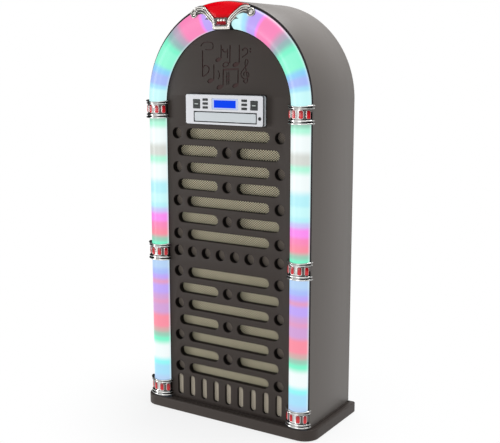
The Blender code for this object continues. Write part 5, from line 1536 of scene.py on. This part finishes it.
@dataclass
class Lenses:
    """The lit tubes and the two halves of the arch."""

    half_width: float = 0.02625
    wall: float = 0.0022
    steps: int = 28
    reach: float = 0.024
    end_gap: float = 0.001
    outer_crest: float = 0.2335
    inner_crest: float = 0.1745
    half_parting: float = 0.0065
    tube_steps: int = 12
    arch_steps: int = 56

    def section(self, half_width: float) -> list[Point3]:
        """Across, forward and share across of the half-elliptic shell.

        Args:
            half_width: half the tube's width.

        Returns:
            Three numbers for each point.
        """
        points = []
        for wall, order in ((0.0, range(self.steps + 1)), (self.wall, range(self.steps, -1, -1))):
            for i in order:
                angle = math.pi * i / self.steps
                points.append((-(half_width - wall) * math.cos(angle),
                               (LENS_PROTRUSION - wall) * math.sin(angle), i / self.steps))
        return points

    def lens(self, name: str, rows: Sequence[tuple[float, list[tuple[Point3, float]]]], finish: Finish,
             node: str) -> None:
        """Skin a lens and lay the map of its light over it.

        Args:
            name: the piece's name.
            rows: share along the lens, and its loop of places with their shares across.
            finish: its surface.
            node: the CAD node that it stands for.
        """
        bm = bmesh.new()
        add_loft(bm, [[place for place, _ in loop] for _, loop in rows])
        shares = [(along, across) for along, loop in rows for _, across in loop]
        lay_map(bm, lambda vert: shares[vert.index])
        publish(make_piece(name, bm, finish), "cabinet", "lens", node)

    def tubes(self) -> None:
        """The four straight lenses."""
        foot, waist, shoulder = COLLAR_HEIGHTS.values()
        spans = {"lower": (foot - self.reach, waist - self.end_gap, LOWER_STOPS),
                 "upper": (waist + self.end_gap, shoulder - self.end_gap, UPPER_STOPS)}
        section = self.section(self.half_width)
        for side, sign in SIDES:
            for place, (low, high, stops) in spans.items():
                where = "%s_%s" % (place, side)
                rows = []
                for step in range(self.tube_steps + 1):
                    share = step / self.tube_steps
                    z = low + (high - low) * share
                    rows.append((share, [((sign * TUBE_CENTRE + sign * u, LENS_BACK_Y - v, z), across)
                                         for u, v, across in section]))
                finish = replace(LENS, name="lit_" + where, stops=stops)
                self.lens("lit_tube_" + where, rows, finish, "light_tube_" + where)

    def arch(self) -> None:
        """The two curved lenses, a little wider towards the crown."""
        last = math.pi / 2 - math.asin(self.half_parting / self.inner_crest)
        for side, sign in SIDES:
            finish = replace(LENS, name="lit_arch_" + side, stops=ARCH_STOPS[side])
            rows = []
            for step in range(-1, self.arch_steps + 1):
                angle = last * max(step, 0) / self.arch_steps
                rise = math.sin(angle)
                outer = TUBE_CENTRE + self.half_width
                outer += (self.outer_crest - outer) * rise
                inner = TUBE_CENTRE - self.half_width
                inner += (self.inner_crest - inner) * rise
                loop = []
                for u, v, across in self.section((outer - inner) / 2):
                    radius = (outer + inner) / 2 + u
                    z = SPRINGLINE + radius * math.sin(angle)
                    if step < 0:
                        z = COLLAR_HEIGHTS["shoulder"] + self.end_gap
                    loop.append(((sign * radius * math.cos(angle), LENS_BACK_Y - v, z), across))
                rows.append((angle / (math.pi / 2), loop))
            self.lens("lit_arch_" + side, rows, finish, "arch_lens_" + side)

    def build(self) -> None:
        """Make every lens."""
        self.tubes()
        self.arch()


@dataclass
class Collars:
    """Chrome collars with ringed ends, framed windows and red stones."""

    half_width: float = 0.0312
    protrusion: float = 0.0216
    half_length: float = 0.0228
    rim_reach: float = 2.2
    rim_dip: float = 0.0040
    band_depth: float = 0.0016
    windows: tuple[float, ...] = (-56.0, -18.7, 18.7, 56.0)
    window_half: float = 11.0
    window_height: float = 0.0206
    frame_radius: float = 0.0010
    frame_rise: float = 0.0006
    frame_corner: float = 0.0036
    back_gap: float = 0.0011
    columns: int = 72
    stone_half: float = 0.0262
    stone_rise: float = 0.0027
    # Heights from the stone's middle of the painted shade at its top and the painted highlight at its
    # lower end
    stone_shade_span: Point2 = (0.012, -0.004)
    stone_grid: tuple[int, int] = (6, 28)

    lifts: ClassVar[dict[str, float]] = {"foot": 0.0012, "waist": 0.0022, "shoulder": 0.0010}
    # Share of the half length and swell in millimetres, from a rim to the band
    rings: ClassVar[tuple[Point2, ...]] = (
        (1.0, 0.5), (0.992, 1.3), (0.97, 1.85), (0.93, 2.1), (0.89, 1.95), (0.86, 1.5), (0.838, 0.8),
        (0.826, 0.1), (0.80, -0.3), (0.745, -0.3), (0.728, 0.2), (0.71, 0.8), (0.68, 1.25),
        (0.64, 1.45), (0.60, 1.35), (0.565, 0.95), (0.54, 0.3), (0.525, -0.8), (0.49, -1.6))

    def profile(self) -> list[Point2]:
        """Height and swell of the sleeve from its foot to its top."""
        rows = [(-share * self.half_length, swell * 0.001) for share, swell in self.rings]
        return rows + [(-z, swell) for z, swell in reversed(rows)]

    def point(self, sign: int, angle: float, swell: float, z: float) -> Vector:
        """A place on the sleeve, swollen by a length.

        Args:
            sign: -1 on the left, 1 on the right.
            angle: degrees round the sleeve.
            swell: how far out.
            z: its height.

        Returns:
            The place.
        """
        turn = math.radians(angle)
        reach = self.half_width + swell * (self.rim_reach if swell > 0 else 1.0)
        return Vector((sign * TUBE_CENTRE + reach * math.sin(turn),
                       LENS_BACK_Y - (self.protrusion + swell) * math.cos(turn), z))

    def dip(self, angle: float, z: float) -> float:
        """Height on the sleeve once its rims dip towards the front.

        Args:
            angle: degrees round the sleeve.
            z: height from the collar's middle.

        Returns:
            The lowered height.
        """
        start = self.window_height / 2
        share = max(abs(z) - start, 0.0) / (self.half_length - start)
        depth = self.rim_dip if z > 0 else self.rim_dip / 3
        return z - depth * share * math.cos(math.radians(angle)) ** 2

    def normal(self, angle: float) -> Vector:
        """The sleeve's outward direction.

        Args:
            angle: degrees round the sleeve.

        Returns:
            A vector one metre long.
        """
        turn = math.radians(angle)
        outward = Vector((math.sin(turn) / self.half_width, -math.cos(turn) / self.protrusion, 0.0))
        return outward.normalized()

    def sleeve(self, level: str, side: str, sign: int, middle: float) -> None:
        """One collar with the frames of its windows.

        Args:
            level: which collar of its side.
            side: left or right.
            sign: -1 on the left, 1 on the right.
            middle: Z of its middle.
        """
        bm = bmesh.new()
        loops = []
        inner = -self.band_depth - self.back_gap
        rows = self.profile() + [(self.half_length, inner), (-self.half_length, inner)]
        for i in range(self.columns + 1):
            angle = -90.0 + 180.0 * i / self.columns
            loops.append([self.point(sign, angle, swell, middle + self.dip(angle, z))
                          for z, swell in rows])
        add_loft(bm, loops)
        shares = [(i / self.columns, 0.5 + z / self.half_length / 4)
                  for i in range(self.columns + 1) for z, _ in rows]
        lay_map(bm, lambda vert: shares[vert.index])
        swell = self.frame_rise - self.band_depth
        frames = [[self.point(sign, centre + u, swell, middle + v) for u, v in self.frame_path()]
                  for centre in self.windows]
        add_piping(bm, frames, self.frame_radius, closed=True, sides=8)
        name = "chrome_%s_%s" % (level, side)
        piece = make_piece(name, bm, replace(COLLAR, name=name), 50.0, 0.0)
        publish(piece, "cabinet", "chrome", "collar_%s_%s" % (level, side))

    def frame_path(self) -> list[Point2]:
        """The window frame's path as degrees round the sleeve and height.

        Returns:
            Degrees and metres from the window's middle.
        """
        arc_length = math.radians(1.0) * (self.half_width + self.protrusion) / 2
        width = 2 * self.window_half * arc_length
        outline = rounded((0.0, 0.0), width, self.window_height, self.frame_corner, 5)
        return [(u / arc_length, v) for u, v in outline]

    def stones(self, level: str, side: str, sign: int, middle: float) -> None:
        """The four red stones of one collar.

        Args:
            level: which collar of its side.
            side: left or right.
            sign: -1 on the left, 1 on the right.
            middle: Z of its middle.
        """
        bm = bmesh.new()
        tuck = self.frame_radius * 0.6
        across = Vector((math.radians(self.window_half) * self.stone_half - tuck, 0.0, 0.0))
        upright = Vector((0.0, 0.0, self.window_height / 2 - tuck))
        self.cabochon(bm, across, upright, Vector((0.0, -self.stone_rise, 0.0)))
        model = make_piece("stone", bm, None)
        places = [(self.point(sign, centre, -self.band_depth, middle), self.normal(centre))
                  for centre in self.windows]
        # Painted shade at the stones' tops, painted highlight at their lower ends
        low, high = (middle + fade for fade in self.stone_shade_span)
        finish = replace(STONE, name="stone_%s_%s" % (level, side), low=low, high=high)
        piece = repeat("stones_%s_%s" % (level, side), model, places, finish)
        piece.data.shade_smooth()
        publish(piece, "cabinet", "jewel", "jewels_%s_%s" % (level, side))

    def cabochon(self, bm: bmesh.types.BMesh, across: Vector, upright: Vector, outward: Vector) -> None:
        """A domed stone with a rounded-rectangle outline and straight flanks.

        Args:
            bm: the mesh to add to.
            across: half its width.
            upright: half its height.
            outward: its rise.
        """
        rings = []
        levels, sides = self.stone_grid
        for level in range(-1, levels):
            turn = math.pi / 2 * max(level, 0) / levels
            lift = outward * (0.5 + 0.5 * math.sin(turn)) if level >= 0 else Vector()
            ring = []
            for i in range(sides):
                angle = math.tau * i / sides
                u, v = math.cos(angle), math.sin(angle)
                square = (abs(u) ** 5 + abs(v) ** 5) ** -0.2
                ring.append((across * u + upright * v) * (square * math.cos(turn)) + lift)
            rings.append(ring)
        add_loft(bm, rings)

    def build(self) -> None:
        """Make six collars and their stones."""
        for level, middle in COLLAR_HEIGHTS.items():
            for side, sign in SIDES:
                place = middle + self.lifts[level]
                self.sleeve(level, side, sign, place)
                self.stones(level, side, sign, place)


@dataclass
class Crown:
    """The cast ornament over the arch, its red dome and its stone."""

    foot: float = 0.9965
    half_span: float = 0.0920
    rise: float = 0.0530
    thickness: float = 0.0038
    volute: Point2 = (0.0815, 1.0360)
    volute_radius: float = 0.0105
    dome_half: float = 0.0644
    dome_inset: float = 0.0008
    dome_lift: float = -0.0010
    dome_skirt: float = 0.0045
    dome_edge: float = 0.0003
    dome_bulge: float = 0.0046
    dome_power: float = 0.8
    dome_steps: int = 12
    bend_share: float = 0.8
    bend_limit: float = 0.0050
    dome_reach: float = 0.0365
    centre_share: float = 0.38
    relief: float = 0.0008
    plate_edge: float = 0.0007
    flange_wall: float = 0.0010
    curl_share: float = 0.88
    curl_size: Point2 = (0.0014, 0.0016)
    ball: Point2 = (0.0062, 0.0026)
    frame_size: Point2 = (0.0009, 0.0010)
    frame_spread: float = 1.10
    scallop: Point3 = (0.0040, 0.0036, 0.0020)
    scallop_pitch: float = 0.0080
    scallop_level: float = 0.425
    sill: Point3 = (0.0195, 0.0036, 0.42)
    sill_level: float = 0.088
    leg: Point3 = (0.0145, 0.011, 0.018)
    stone_back: float = 0.0013
    stone_level: float = 0.30
    stone_fit: Point2 = (0.965, 0.92)
    # Half the height over which the window stone goes from painted shade at its foot to a painted
    # highlight at its top
    stone_shade_span: float = 0.004

    # Outlines as shares of the half span and of the rise above the foot
    neck: ClassVar[tuple[Point2, ...]] = (
        (0.261, 0.0), (0.277, 0.075), (0.270, 0.19), (0.288, 0.30), (0.337, 0.40), (0.402, 0.455),
        (0.525, 0.470), (0.450, 0.55), (0.465, 0.62), (0.543, 0.68), (0.652, 0.725))
    arm: ClassVar[tuple[Point2, ...]] = (
        (0.800, 1.050), (0.700, 1.092), (0.590, 1.072), (0.500, 0.960), (0.375, 0.775), (0.275, 0.61),
        (0.206, 0.515))
    bar: ClassVar[tuple[Point2, ...]] = ((0.172, 0.530), (0.110, 0.548), (0.060, 0.515), (0.0, 0.548))
    window: ClassVar[tuple[Point2, ...]] = (
        (-0.172, 0.210), (0.172, 0.210), (0.130, 0.385), (-0.130, 0.385))
    frame: ClassVar[tuple[Point2, ...]] = (
        (-0.172, 0.188), (0.172, 0.188), (0.130, 0.405), (-0.130, 0.405))
    stone_levels: ClassVar[tuple[Point2, ...]] = (
        (1.0, 0.0012), (0.93, 0.0018), (0.70, 0.0022), (0.02, 0.0024))
    rib_sizes: ClassVar[tuple[Point2, ...]] = ((0.0020, 0.0016), (0.0016, 0.0012), (0.0013, 0.0014))
    ribs: ClassVar[tuple[tuple[Point2, ...], ...]] = (
        ((0.214, 0.03), (0.216, 0.22), (0.226, 0.42), (0.282, 0.570), (0.392, 0.735), (0.520, 0.925),
         (0.620, 1.005), (0.740, 1.018), (0.860, 0.985)),
        ((0.240, 0.04), (0.240, 0.22), (0.262, 0.40), (0.330, 0.530), (0.440, 0.695), (0.555, 0.850),
         (0.670, 0.925), (0.790, 0.915)),
        ((0.262, 0.05), (0.258, 0.20), (0.290, 0.34), (0.370, 0.455), (0.450, 0.590), (0.560, 0.735),
         (0.665, 0.805), (0.760, 0.800)),
    )

    def place(self, share: Point2) -> Point2:
        """A point from its shares of the half span and the rise."""
        return share[0] * self.half_span, self.foot + share[1] * self.rise

    def outline(self) -> list[Point2]:
        """The ornament's whole outline.

        Returns:
            X and Z round both halves.
        """
        neck = smooth_path([self.place(share) for share in self.neck[:7]], 4)
        barb = smooth_path([self.place(share) for share in self.neck[6:]], 4)[1:]
        curl = arc(self.volute, self.volute_radius, 200.0, 470.0, 36)
        arm = smooth_path([self.place(share) for share in self.arm + self.bar], 5)
        right = neck + barb + curl + arm
        return right + [(-x, z) for x, z in reversed(right[:-1])]

    def bead(self, bm: bmesh.types.BMesh, path: Sequence[Point2], y: float, size: Point2,
             closed: bool = False) -> None:
        """A bead along a path on the ornament's face, on both sides of the middle."""
        paths = [[(sign * x, y, z) for x, z in path] for sign in (-1, 1)]
        add_piping(bm, paths, size[0], size[1] / size[0], closed)

    def lens_front(self, x: float, z: float, reach: float = LENS_REACH) -> float:
        """Y of the lit arch's surface in front of a point, whose outer slope ends at a reach.

        Args:
            x: the point's X.
            z: its Z.
            reach: from the arch's middle to the slope's end.

        Returns:
            Y.
        """
        off = max(math.hypot(x, z - SPRINGLINE) - ARCH_MIDDLE, -LENS_REACH) / reach
        if off < 0:
            off *= reach / LENS_REACH
        return LENS_BACK_Y - LENS_PROTRUSION * math.sqrt(max(1 - off * off, 0.0))

    def flange(self, bm: bmesh.types.BMesh) -> None:
        """The returns behind both legs, which stop short of the lens.

        Args:
            bm: the mesh to add to.
        """
        path = smooth_path([self.place(share) for share in self.neck[:6]], 4)
        for sign in (-1, 1):
            loops = []
            for x, z in path:
                back = self.lens_front(x, z) - GAP
                near = CROWN_BACK_Y - self.thickness / 2
                inner = x - self.flange_wall
                loops.append([(sign * x, near, z), (sign * x, back, z), (sign * inner, back, z),
                              (sign * inner, near, z)])
            add_loft(bm, loops)

    def ornament(self) -> None:
        """The chrome casting: plate, ribbed arms, scrolls, feet and the scalloped window frame."""
        front = CROWN_BACK_Y - self.thickness
        relief = front + self.relief
        bm = bmesh.new()
        window = [self.place(share) for share in self.window]
        add_plate(bm, self.outline(), [window], relief, CROWN_BACK_Y, self.plate_edge)
        for rib, size in zip(self.ribs, self.rib_sizes):
            self.bead(bm, smooth_path([self.place(share) for share in rib], 6), relief, size)
        curl = arc(self.volute, self.volute_radius * self.curl_share, 150.0, -150.0, 40)
        self.bead(bm, curl, relief, self.curl_size)
        radius, swell = self.ball
        x, z = self.volute
        for sign in (-1, 1):
            add_dome(bm, Vector((sign * x, relief, z)), Vector((radius, 0, 0)), Vector((0, 0, radius)),
                     Vector((0, -swell, 0)))
        frame = [self.place((u * self.frame_spread, v)) for u, v in self.frame]
        self.bead(bm, frame, relief, self.frame_size, closed=True)
        wide, high, swell = self.scallop
        z = self.foot + self.scallop_level * self.rise
        for i in (-1, 0, 1):
            add_dome(bm, Vector((self.scallop_pitch * i, relief, z)), Vector((wide, 0, 0)),
                     Vector((0, 0, high)), Vector((0, -swell, 0)), 14, 4)
        half, radius, flatness = self.sill
        z = self.foot + self.sill_level * self.rise
        add_piping(bm, [[(x * half, relief, z) for x in (-1.0, 0.0, 1.0)]], radius, flatness)
        level, wide, high = self.leg
        leg = rounded((0.0, self.foot + level), wide, high, 0.001, 2)
        add_loft(bm, [stand(leg, CROWN_BACK_Y - GAP), stand(leg, LENS_BACK_Y)])
        self.flange(bm)
        # The map holds each point's depth, which sets the casting's painted shade
        lay_map(bm, lambda vert: (0.5, 1.0 + (vert.co.y - LENS_BACK_Y) / DEPTH_SCALE))
        for vert in bm.verts:
            if math.hypot(vert.co.x, vert.co.z - SPRINGLINE) > ARCH_MIDDLE:
                drop = self.lens_front(vert.co.x, vert.co.z) - LENS_BACK_Y + LENS_PROTRUSION
                vert.co.y += min(drop * self.bend_share, self.bend_limit)
        finish = replace(CAST, recess=relief, raised=relief - self.plate_edge)
        publish(make_piece("crown_casting", bm, finish, 45.0, 0.0), "cabinet", "chrome",
                "crown_ornament")

    def dome(self) -> None:
        """The pillowed red dome, which curves back to the arch's top edge, and its skirt."""
        radius = CABINET_HALF - self.dome_inset
        half_angle = math.degrees(math.asin(self.dome_half / radius))
        arms = smooth_path([self.place(share) for share in reversed(self.arm[1:])], 6)
        edge = [(x, z + self.dome_lift) for x, z in arms]
        top = arc((0.0, SPRINGLINE), radius, 90.0 - half_angle, 90.0 + half_angle, 48)
        outline = edge + top + [(-x, z) for x, z in reversed(edge)]
        crest = SPRINGLINE + radius
        middle = crest - self.centre_share * (crest - edge[0][1])
        loops = [[(x, self.lens_front(x, z, self.dome_reach) - GAP, z) for x, z in outline]]
        shares = [1.0]
        for i in range(self.dome_steps):
            turn = math.pi / 2 * i / self.dome_steps
            scale = math.cos(turn)
            rise = math.sin(turn) ** self.dome_power
            loop = []
            for x, z in outline:
                x, z = x * scale, middle + (z - middle) * scale
                base = self.lens_front(x, z, self.dome_reach) - GAP
                loop.append((x, base - self.dome_edge - rise * self.dome_bulge, z))
            loops.append(loop)
            shares.append(scale)
        bm = bmesh.new()
        add_loft(bm, loops)
        # The map's share from the middle to the rim carries the dome's painted rim shade
        lay_map(bm, lambda vert: (shares[vert.index // len(outline)], 0.0))
        inner = radius - self.dome_skirt
        skirt = top + arc((0.0, SPRINGLINE), inner, 90.0 + half_angle, 90.0 - half_angle, 48)
        add_loft(bm, [stand(skirt, LENS_BACK_Y - self.dome_skirt), stand(skirt, LENS_BACK_Y)])
        publish(make_piece("red_dome", bm, DOME, 40.0, 0.0), "cabinet", "jewel", "crown_dome")

    def stone(self) -> None:
        """The dark stone in the ornament's window."""
        back = CROWN_BACK_Y - self.stone_back
        level = self.stone_level
        wide, high = self.stone_fit
        outline = [self.place((u * wide, level + (v - level) * high)) for u, v in self.window]
        middle = self.foot + level * self.rise
        loops = [stand(outline, back)]
        for scale, lift in self.stone_levels:
            loops.append([(x * scale, back - lift, middle + (z - middle) * scale) for x, z in outline])
        bm = bmesh.new()
        add_loft(bm, loops)
        # Painted shade at the stone's foot, painted highlight at its top
        finish = replace(WINDOW_STONE, low=middle - self.stone_shade_span, high=middle + self.stone_shade_span)
        publish(make_piece("crown_window_stone", bm, finish), "cabinet", "jewel", "crown_stone")

    def build(self) -> None:
        """Make the crown."""
        self.ornament()
        self.dome()
        self.stone()


@dataclass
class Fascia:
    """The silver moulding round the player's controls."""

    width: float = 0.226
    low: float = 0.7685
    high: float = 0.8412
    wall: float = 0.0025
    radius: float = 0.005
    display: tuple[float, float, float, float] = (0.004, 0.8191, 0.076, 0.026)
    door: tuple[float, float, float, float] = (0.0035, 0.787, 0.180, 0.022)
    socket: Point3 = (0.1038, 0.787, 0.0036)
    button_columns: Point2 = (-0.054, 0.060)
    button_middle: float = 0.8192
    button_pitch: float = 0.0096
    button_size: Point2 = (0.0156, 0.0056)
    rocker_columns: Point2 = (-0.080, 0.088)
    rocker_middle: float = 0.818
    rocker_size: Point2 = (0.0207, 0.0228)
    key_corner: float = 0.0008
    display_gap: float = 0.0006
    door_gap: float = 0.0028
    front_inset: float = 0.0008
    edge: float = 0.0004
    bezel_gap: float = 0.0016

    # Inset and depth of the rim's section, which comes back along the wall's inside
    rim: ClassVar[tuple[Point2, ...]] = (
        (0.0025, 0.0025), (0.0025, 0.0004), (0.0009, 0.0), (0.0003, 0.0002), (0.0, 0.0006), (0.0, 0.0023),
        (0.0011, 0.0024), (0.0011, 0.0048), (0.0, 0.0049), (0.0, 0.0137), (0.0025, 0.0137))

    def openings(self) -> list[list[Point2]]:
        """Outlines of everything that shows through the moulding.

        Returns:
            One outline for each opening.
        """
        x, z, width, height = self.display
        gap = self.display_gap
        found = [rounded((x, z), width + gap, height + gap, 0.0015, 3)]
        for column in self.button_columns:
            found += [rounded((column, self.button_middle + row * self.button_pitch), *self.button_size,
                              self.key_corner, 3) for row in (-1, 0, 1)]
        found += [rounded((column, self.rocker_middle), *self.rocker_size, self.key_corner, 3)
                  for column in self.rocker_columns]
        x, z, width, height = self.door
        found.append(rounded((x, z), width + self.door_gap, height + self.door_gap, 0.0035, 5))
        x, z, radius = self.socket
        found.append(circle((x, z), radius + GAP, 24))
        return found

    def moulding(self) -> None:
        """Front wall with openings, and the rounded rim behind it."""
        middle = (0.0, (self.low + self.high) / 2)
        height = self.high - self.low
        bm = bmesh.new()
        inset = self.front_inset
        outline = rounded(middle, self.width - 2 * inset, height - 2 * inset, self.radius - inset)
        add_plate(bm, outline, self.openings(), FASCIA_FRONT, FASCIA_FRONT + self.wall, self.edge)
        loops = [stand(rounded(middle, self.width - 2 * u, height - 2 * u, self.radius - u),
                       FASCIA_FRONT + y) for u, y in self.rim]
        add_loft(bm, loops, closed=True)
        publish(make_piece("fascia_moulding", bm, SILVER, 35.0, 0.0), "cabinet", "silver",
                "control_fascia")

    def bezel(self) -> None:
        """A fine raised line round the display."""
        x, z, width, height = self.display
        bm = bmesh.new()
        outline = rounded((x, z), width + self.bezel_gap, height + self.bezel_gap, 0.0020, 5)
        add_piping(bm, [stand(outline, FASCIA_FRONT)], self.edge, 0.75, closed=True, sides=8)
        publish(make_piece("display_bezel", bm, SILVER), "cabinet", "silver")

    def build(self) -> None:
        """Make the moulding and its trim."""
        self.moulding()
        self.bezel()


@dataclass
class Paintwork:
    """Finishes for the CAD nodes that stay."""

    finishes: ClassVar[dict[str, Finish]] = {
        "rear_panel": BASE, "speaker_board": BASE,
        "display_window": DISPLAY, "rocker_left": ROCKER, "rocker_right": ROCKER,
        "audio_socket": KEY, "tray_door": DOOR, "loading_gear": DOOR,
        "disc_tray": MOULDING, "player_chassis": MOULDING, "disc_turntable": MOULDING,
        "laser_sled": MOULDING, "disc_clamp": MOULDING, "mains_inlet": MOULDING,
        "speaker_upper": STEEL, "speaker_lower": STEEL, "pickup_cradle": STEEL, "clamp_bridge": STEEL,
        "speaker_cone_upper": PAPER, "speaker_cone_lower": PAPER,
        "control_board": CIRCUIT, "amplifier_board": CIRCUIT, "light_strip": STRIP,
    }

    def build(self, nodes: dict[str, bpy.types.Object]) -> None:
        """Give each CAD node that shows its finish.

        Args:
            nodes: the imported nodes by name.
        """
        wanted = dict(self.finishes)
        for side, _ in SIDES:
            wanted.update({"button_%s_%s" % (side, row): KEY for row in ("top", "middle", "bottom")})
            wanted.update({"rubber_foot_%s_%s" % (end, side): RUBBER for end in ("front", "rear")})
        made: dict[str, bpy.types.Material] = {}
        for name, finish in wanted.items():
            if finish.name not in made:
                made[finish.name] = finish.build()
            for place in nodes[name].material_slots:
                place.material = made[finish.name]
        LOG.info("%d CAD nodes painted", len(wanted))


# ---- studio ----


@dataclass
class Studio:
    """Camera, soft lights, white surroundings and a pale floor."""

    eye: Point3 = (1.2306, -1.9477, 0.9346)
    yaw: float = 32.18
    pitch: float = 10.42
    lens: float = 64.8
    floor_size: float = 6.0
    floor_fade: Point2 = (0.20, 0.60)
    world_colour: Colour = (0.94, 0.97, 1.0)
    world_strength: float = 0.44
    card_top: float = 3.4

    # Name, X, and the Y that each card spans
    card_places: ClassVar[tuple[tuple[str, float, float, float], ...]] = (
        ("card_left", -1.6, -1.1, 1.6), ("card_right", 1.9, -2.6, 1.8))
    # Name, place, target, size and watts
    lamps: ClassVar[tuple[tuple[str, Point3, Point3, Point2, float], ...]] = (
        ("key", (2.6, 0.2, 1.9), (0.0, 0.0, 0.6), (1.4, 1.4), 18.5),
        ("left", (-2.2, -1.6, 0.6), (0.0, 0.0, 0.3), (0.9, 1.2), 27.0),
        ("front", (-0.4, -3.0, 0.3), (0.0, 0.0, 0.2), (1.0, 1.4), 14.0),
        ("top", (0.3, 0.5, 2.6), (0.0, 0.1, 1.0), (1.6, 1.2), 42.0))

    def camera(self) -> None:
        """The camera that fits the photograph."""
        yaw, pitch = math.radians(self.yaw), math.radians(self.pitch)
        forward = Vector((-math.sin(yaw) * math.cos(pitch), math.cos(yaw) * math.cos(pitch),
                          -math.sin(pitch)))
        right = Vector((math.cos(yaw), math.sin(yaw), 0.0))
        up = right.cross(forward)
        data = bpy.data.cameras.new("camera")
        data.lens = self.lens
        data.sensor_width = 36.0
        data.sensor_fit = "HORIZONTAL"
        made = bpy.data.objects.new("camera", data)
        turn = Matrix((right, up, -forward)).transposed().to_4x4()
        made.matrix_world = Matrix.Translation(self.eye) @ turn
        bpy.context.scene.collection.objects.link(made)
        bpy.context.scene.camera = made

    def light(self, name: str, place: Point3, target: Point3, size: Point2, power: float) -> None:
        """One soft area light that points at a target.

        Args:
            name: its name.
            place: where it stands.
            target: what it points at.
            size: width and height.
            power: watts.
        """
        data = bpy.data.lights.new(name, "AREA")
        data.shape = "RECTANGLE"
        data.size, data.size_y = size
        data.energy = power
        made = bpy.data.objects.new(name, data)
        made.location = place
        made.rotation_mode = "QUATERNION"
        made.rotation_quaternion = (Vector(target) - Vector(place)).to_track_quat("-Z", "Y")
        bpy.context.scene.collection.objects.link(made)

    def world(self) -> None:
        """White to the eye and in reflections, softer as a light."""
        world = bpy.data.worlds.new("studio")
        bpy.context.scene.world = world
        world.use_nodes = True
        tree = world.node_tree
        graph = Graph(tree)
        shown = graph.node("ShaderNodeBackground", {}, {"Color": WHITE, "Strength": 1.0})
        soft = graph.node("ShaderNodeBackground", {},
                          {"Color": self.world_colour, "Strength": self.world_strength})
        rays = [graph.node("ShaderNodeLightPath", output=name)
                for name in ("Is Camera Ray", "Is Glossy Ray", "Is Transmission Ray")]
        seen = rays[0] + rays[1] + rays[2] > 0.5
        blend = graph.node("ShaderNodeMixShader", {}, {0: seen, 1: soft, 2: shown})
        graph.feed(tree.nodes["World Output"].inputs["Surface"], blend)

    def floor(self) -> None:
        """A pale floor that fades into the white surroundings."""
        bm = bmesh.new()
        half = self.floor_size
        bm.faces.new([bm.verts.new(p) for p in ((-half, -half, 0), (half, -half, 0), (half, half, 0),
                                                (-half, half, 0))])
        material = bpy.data.materials.new("floor")
        material.use_nodes = True
        tree = material.node_tree
        graph = Graph(tree)
        shader = tree.nodes["Principled BSDF"]
        shader.inputs["Base Color"].default_value = (0.9, 0.9, 0.9, 1.0)
        shader.inputs["Roughness"].default_value = 0.9
        x, y, _ = graph.place()
        away = (x * x + y * y).root()
        glow = graph.node("ShaderNodeEmission", {}, {"Color": WHITE})
        lit = Value(graph, shader.outputs[0])
        fade = away.smooth(*self.floor_fade) * 0.2 + 0.8
        blend = graph.node("ShaderNodeMixShader", {}, {0: fade, 1: lit, 2: glow})
        graph.feed(tree.nodes["Material Output"].inputs["Surface"], blend)
        made = make_piece("floor", bm, None)
        made.data.materials.append(material)
        made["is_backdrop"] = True

    def cards(self) -> None:
        """Dark cards at both sides, seen only in reflections, that give the chrome its contrast."""
        finish = Finish("card", (0.01, 0.01, 0.01), 1.0)
        top = self.card_top
        for name, x, low, high in self.card_places:
            bm = bmesh.new()
            bm.faces.new([bm.verts.new(p) for p in ((x, low, 0.02), (x, high, 0.02), (x, high, top),
                                                    (x, low, top))])
            made = make_piece(name, bm, finish)
            made.visible_camera = False
            made.visible_diffuse = False
            made.visible_shadow = False
            made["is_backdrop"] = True

    def build(self) -> None:
        """Set up the studio."""
        self.camera()
        self.world()
        self.floor()
        self.cards()
        for lamp in self.lamps:
            self.light(*lamp)
        bpy.context.scene.view_settings.view_transform = "Standard"


def write_sizes(before: tuple[Vector, Vector], after: tuple[Vector, Vector]) -> None:
    """Keep the CAD box and the dressed box for comparison.

    Args:
        before: lowest and highest corner of the CAD part.
        after: the same of the dressed part.
    """
    for i, axis in enumerate("XYZ"):
        LOG.info("%s: CAD %.4f to %.4f, dressed %.4f to %.4f", axis, before[0][i], before[1][i],
                 after[0][i], after[1][i])


def main() -> None:
    """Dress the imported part."""
    logging.basicConfig(level=logging.INFO, format="%(name)s: %(message)s")
    for old in list(bpy.data.objects):
        bpy.data.objects.remove(old, do_unlink=True)
    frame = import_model()
    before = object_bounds()
    Studio().build()
    Cabinet().build()
    Grille().build()
    Lenses().build()
    Collars().build()
    Crown().build()
    Fascia().build()
    Paintwork().build(frame["nodes"])
    write_sizes(before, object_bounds())


if __name__ == "__main__":
    main()
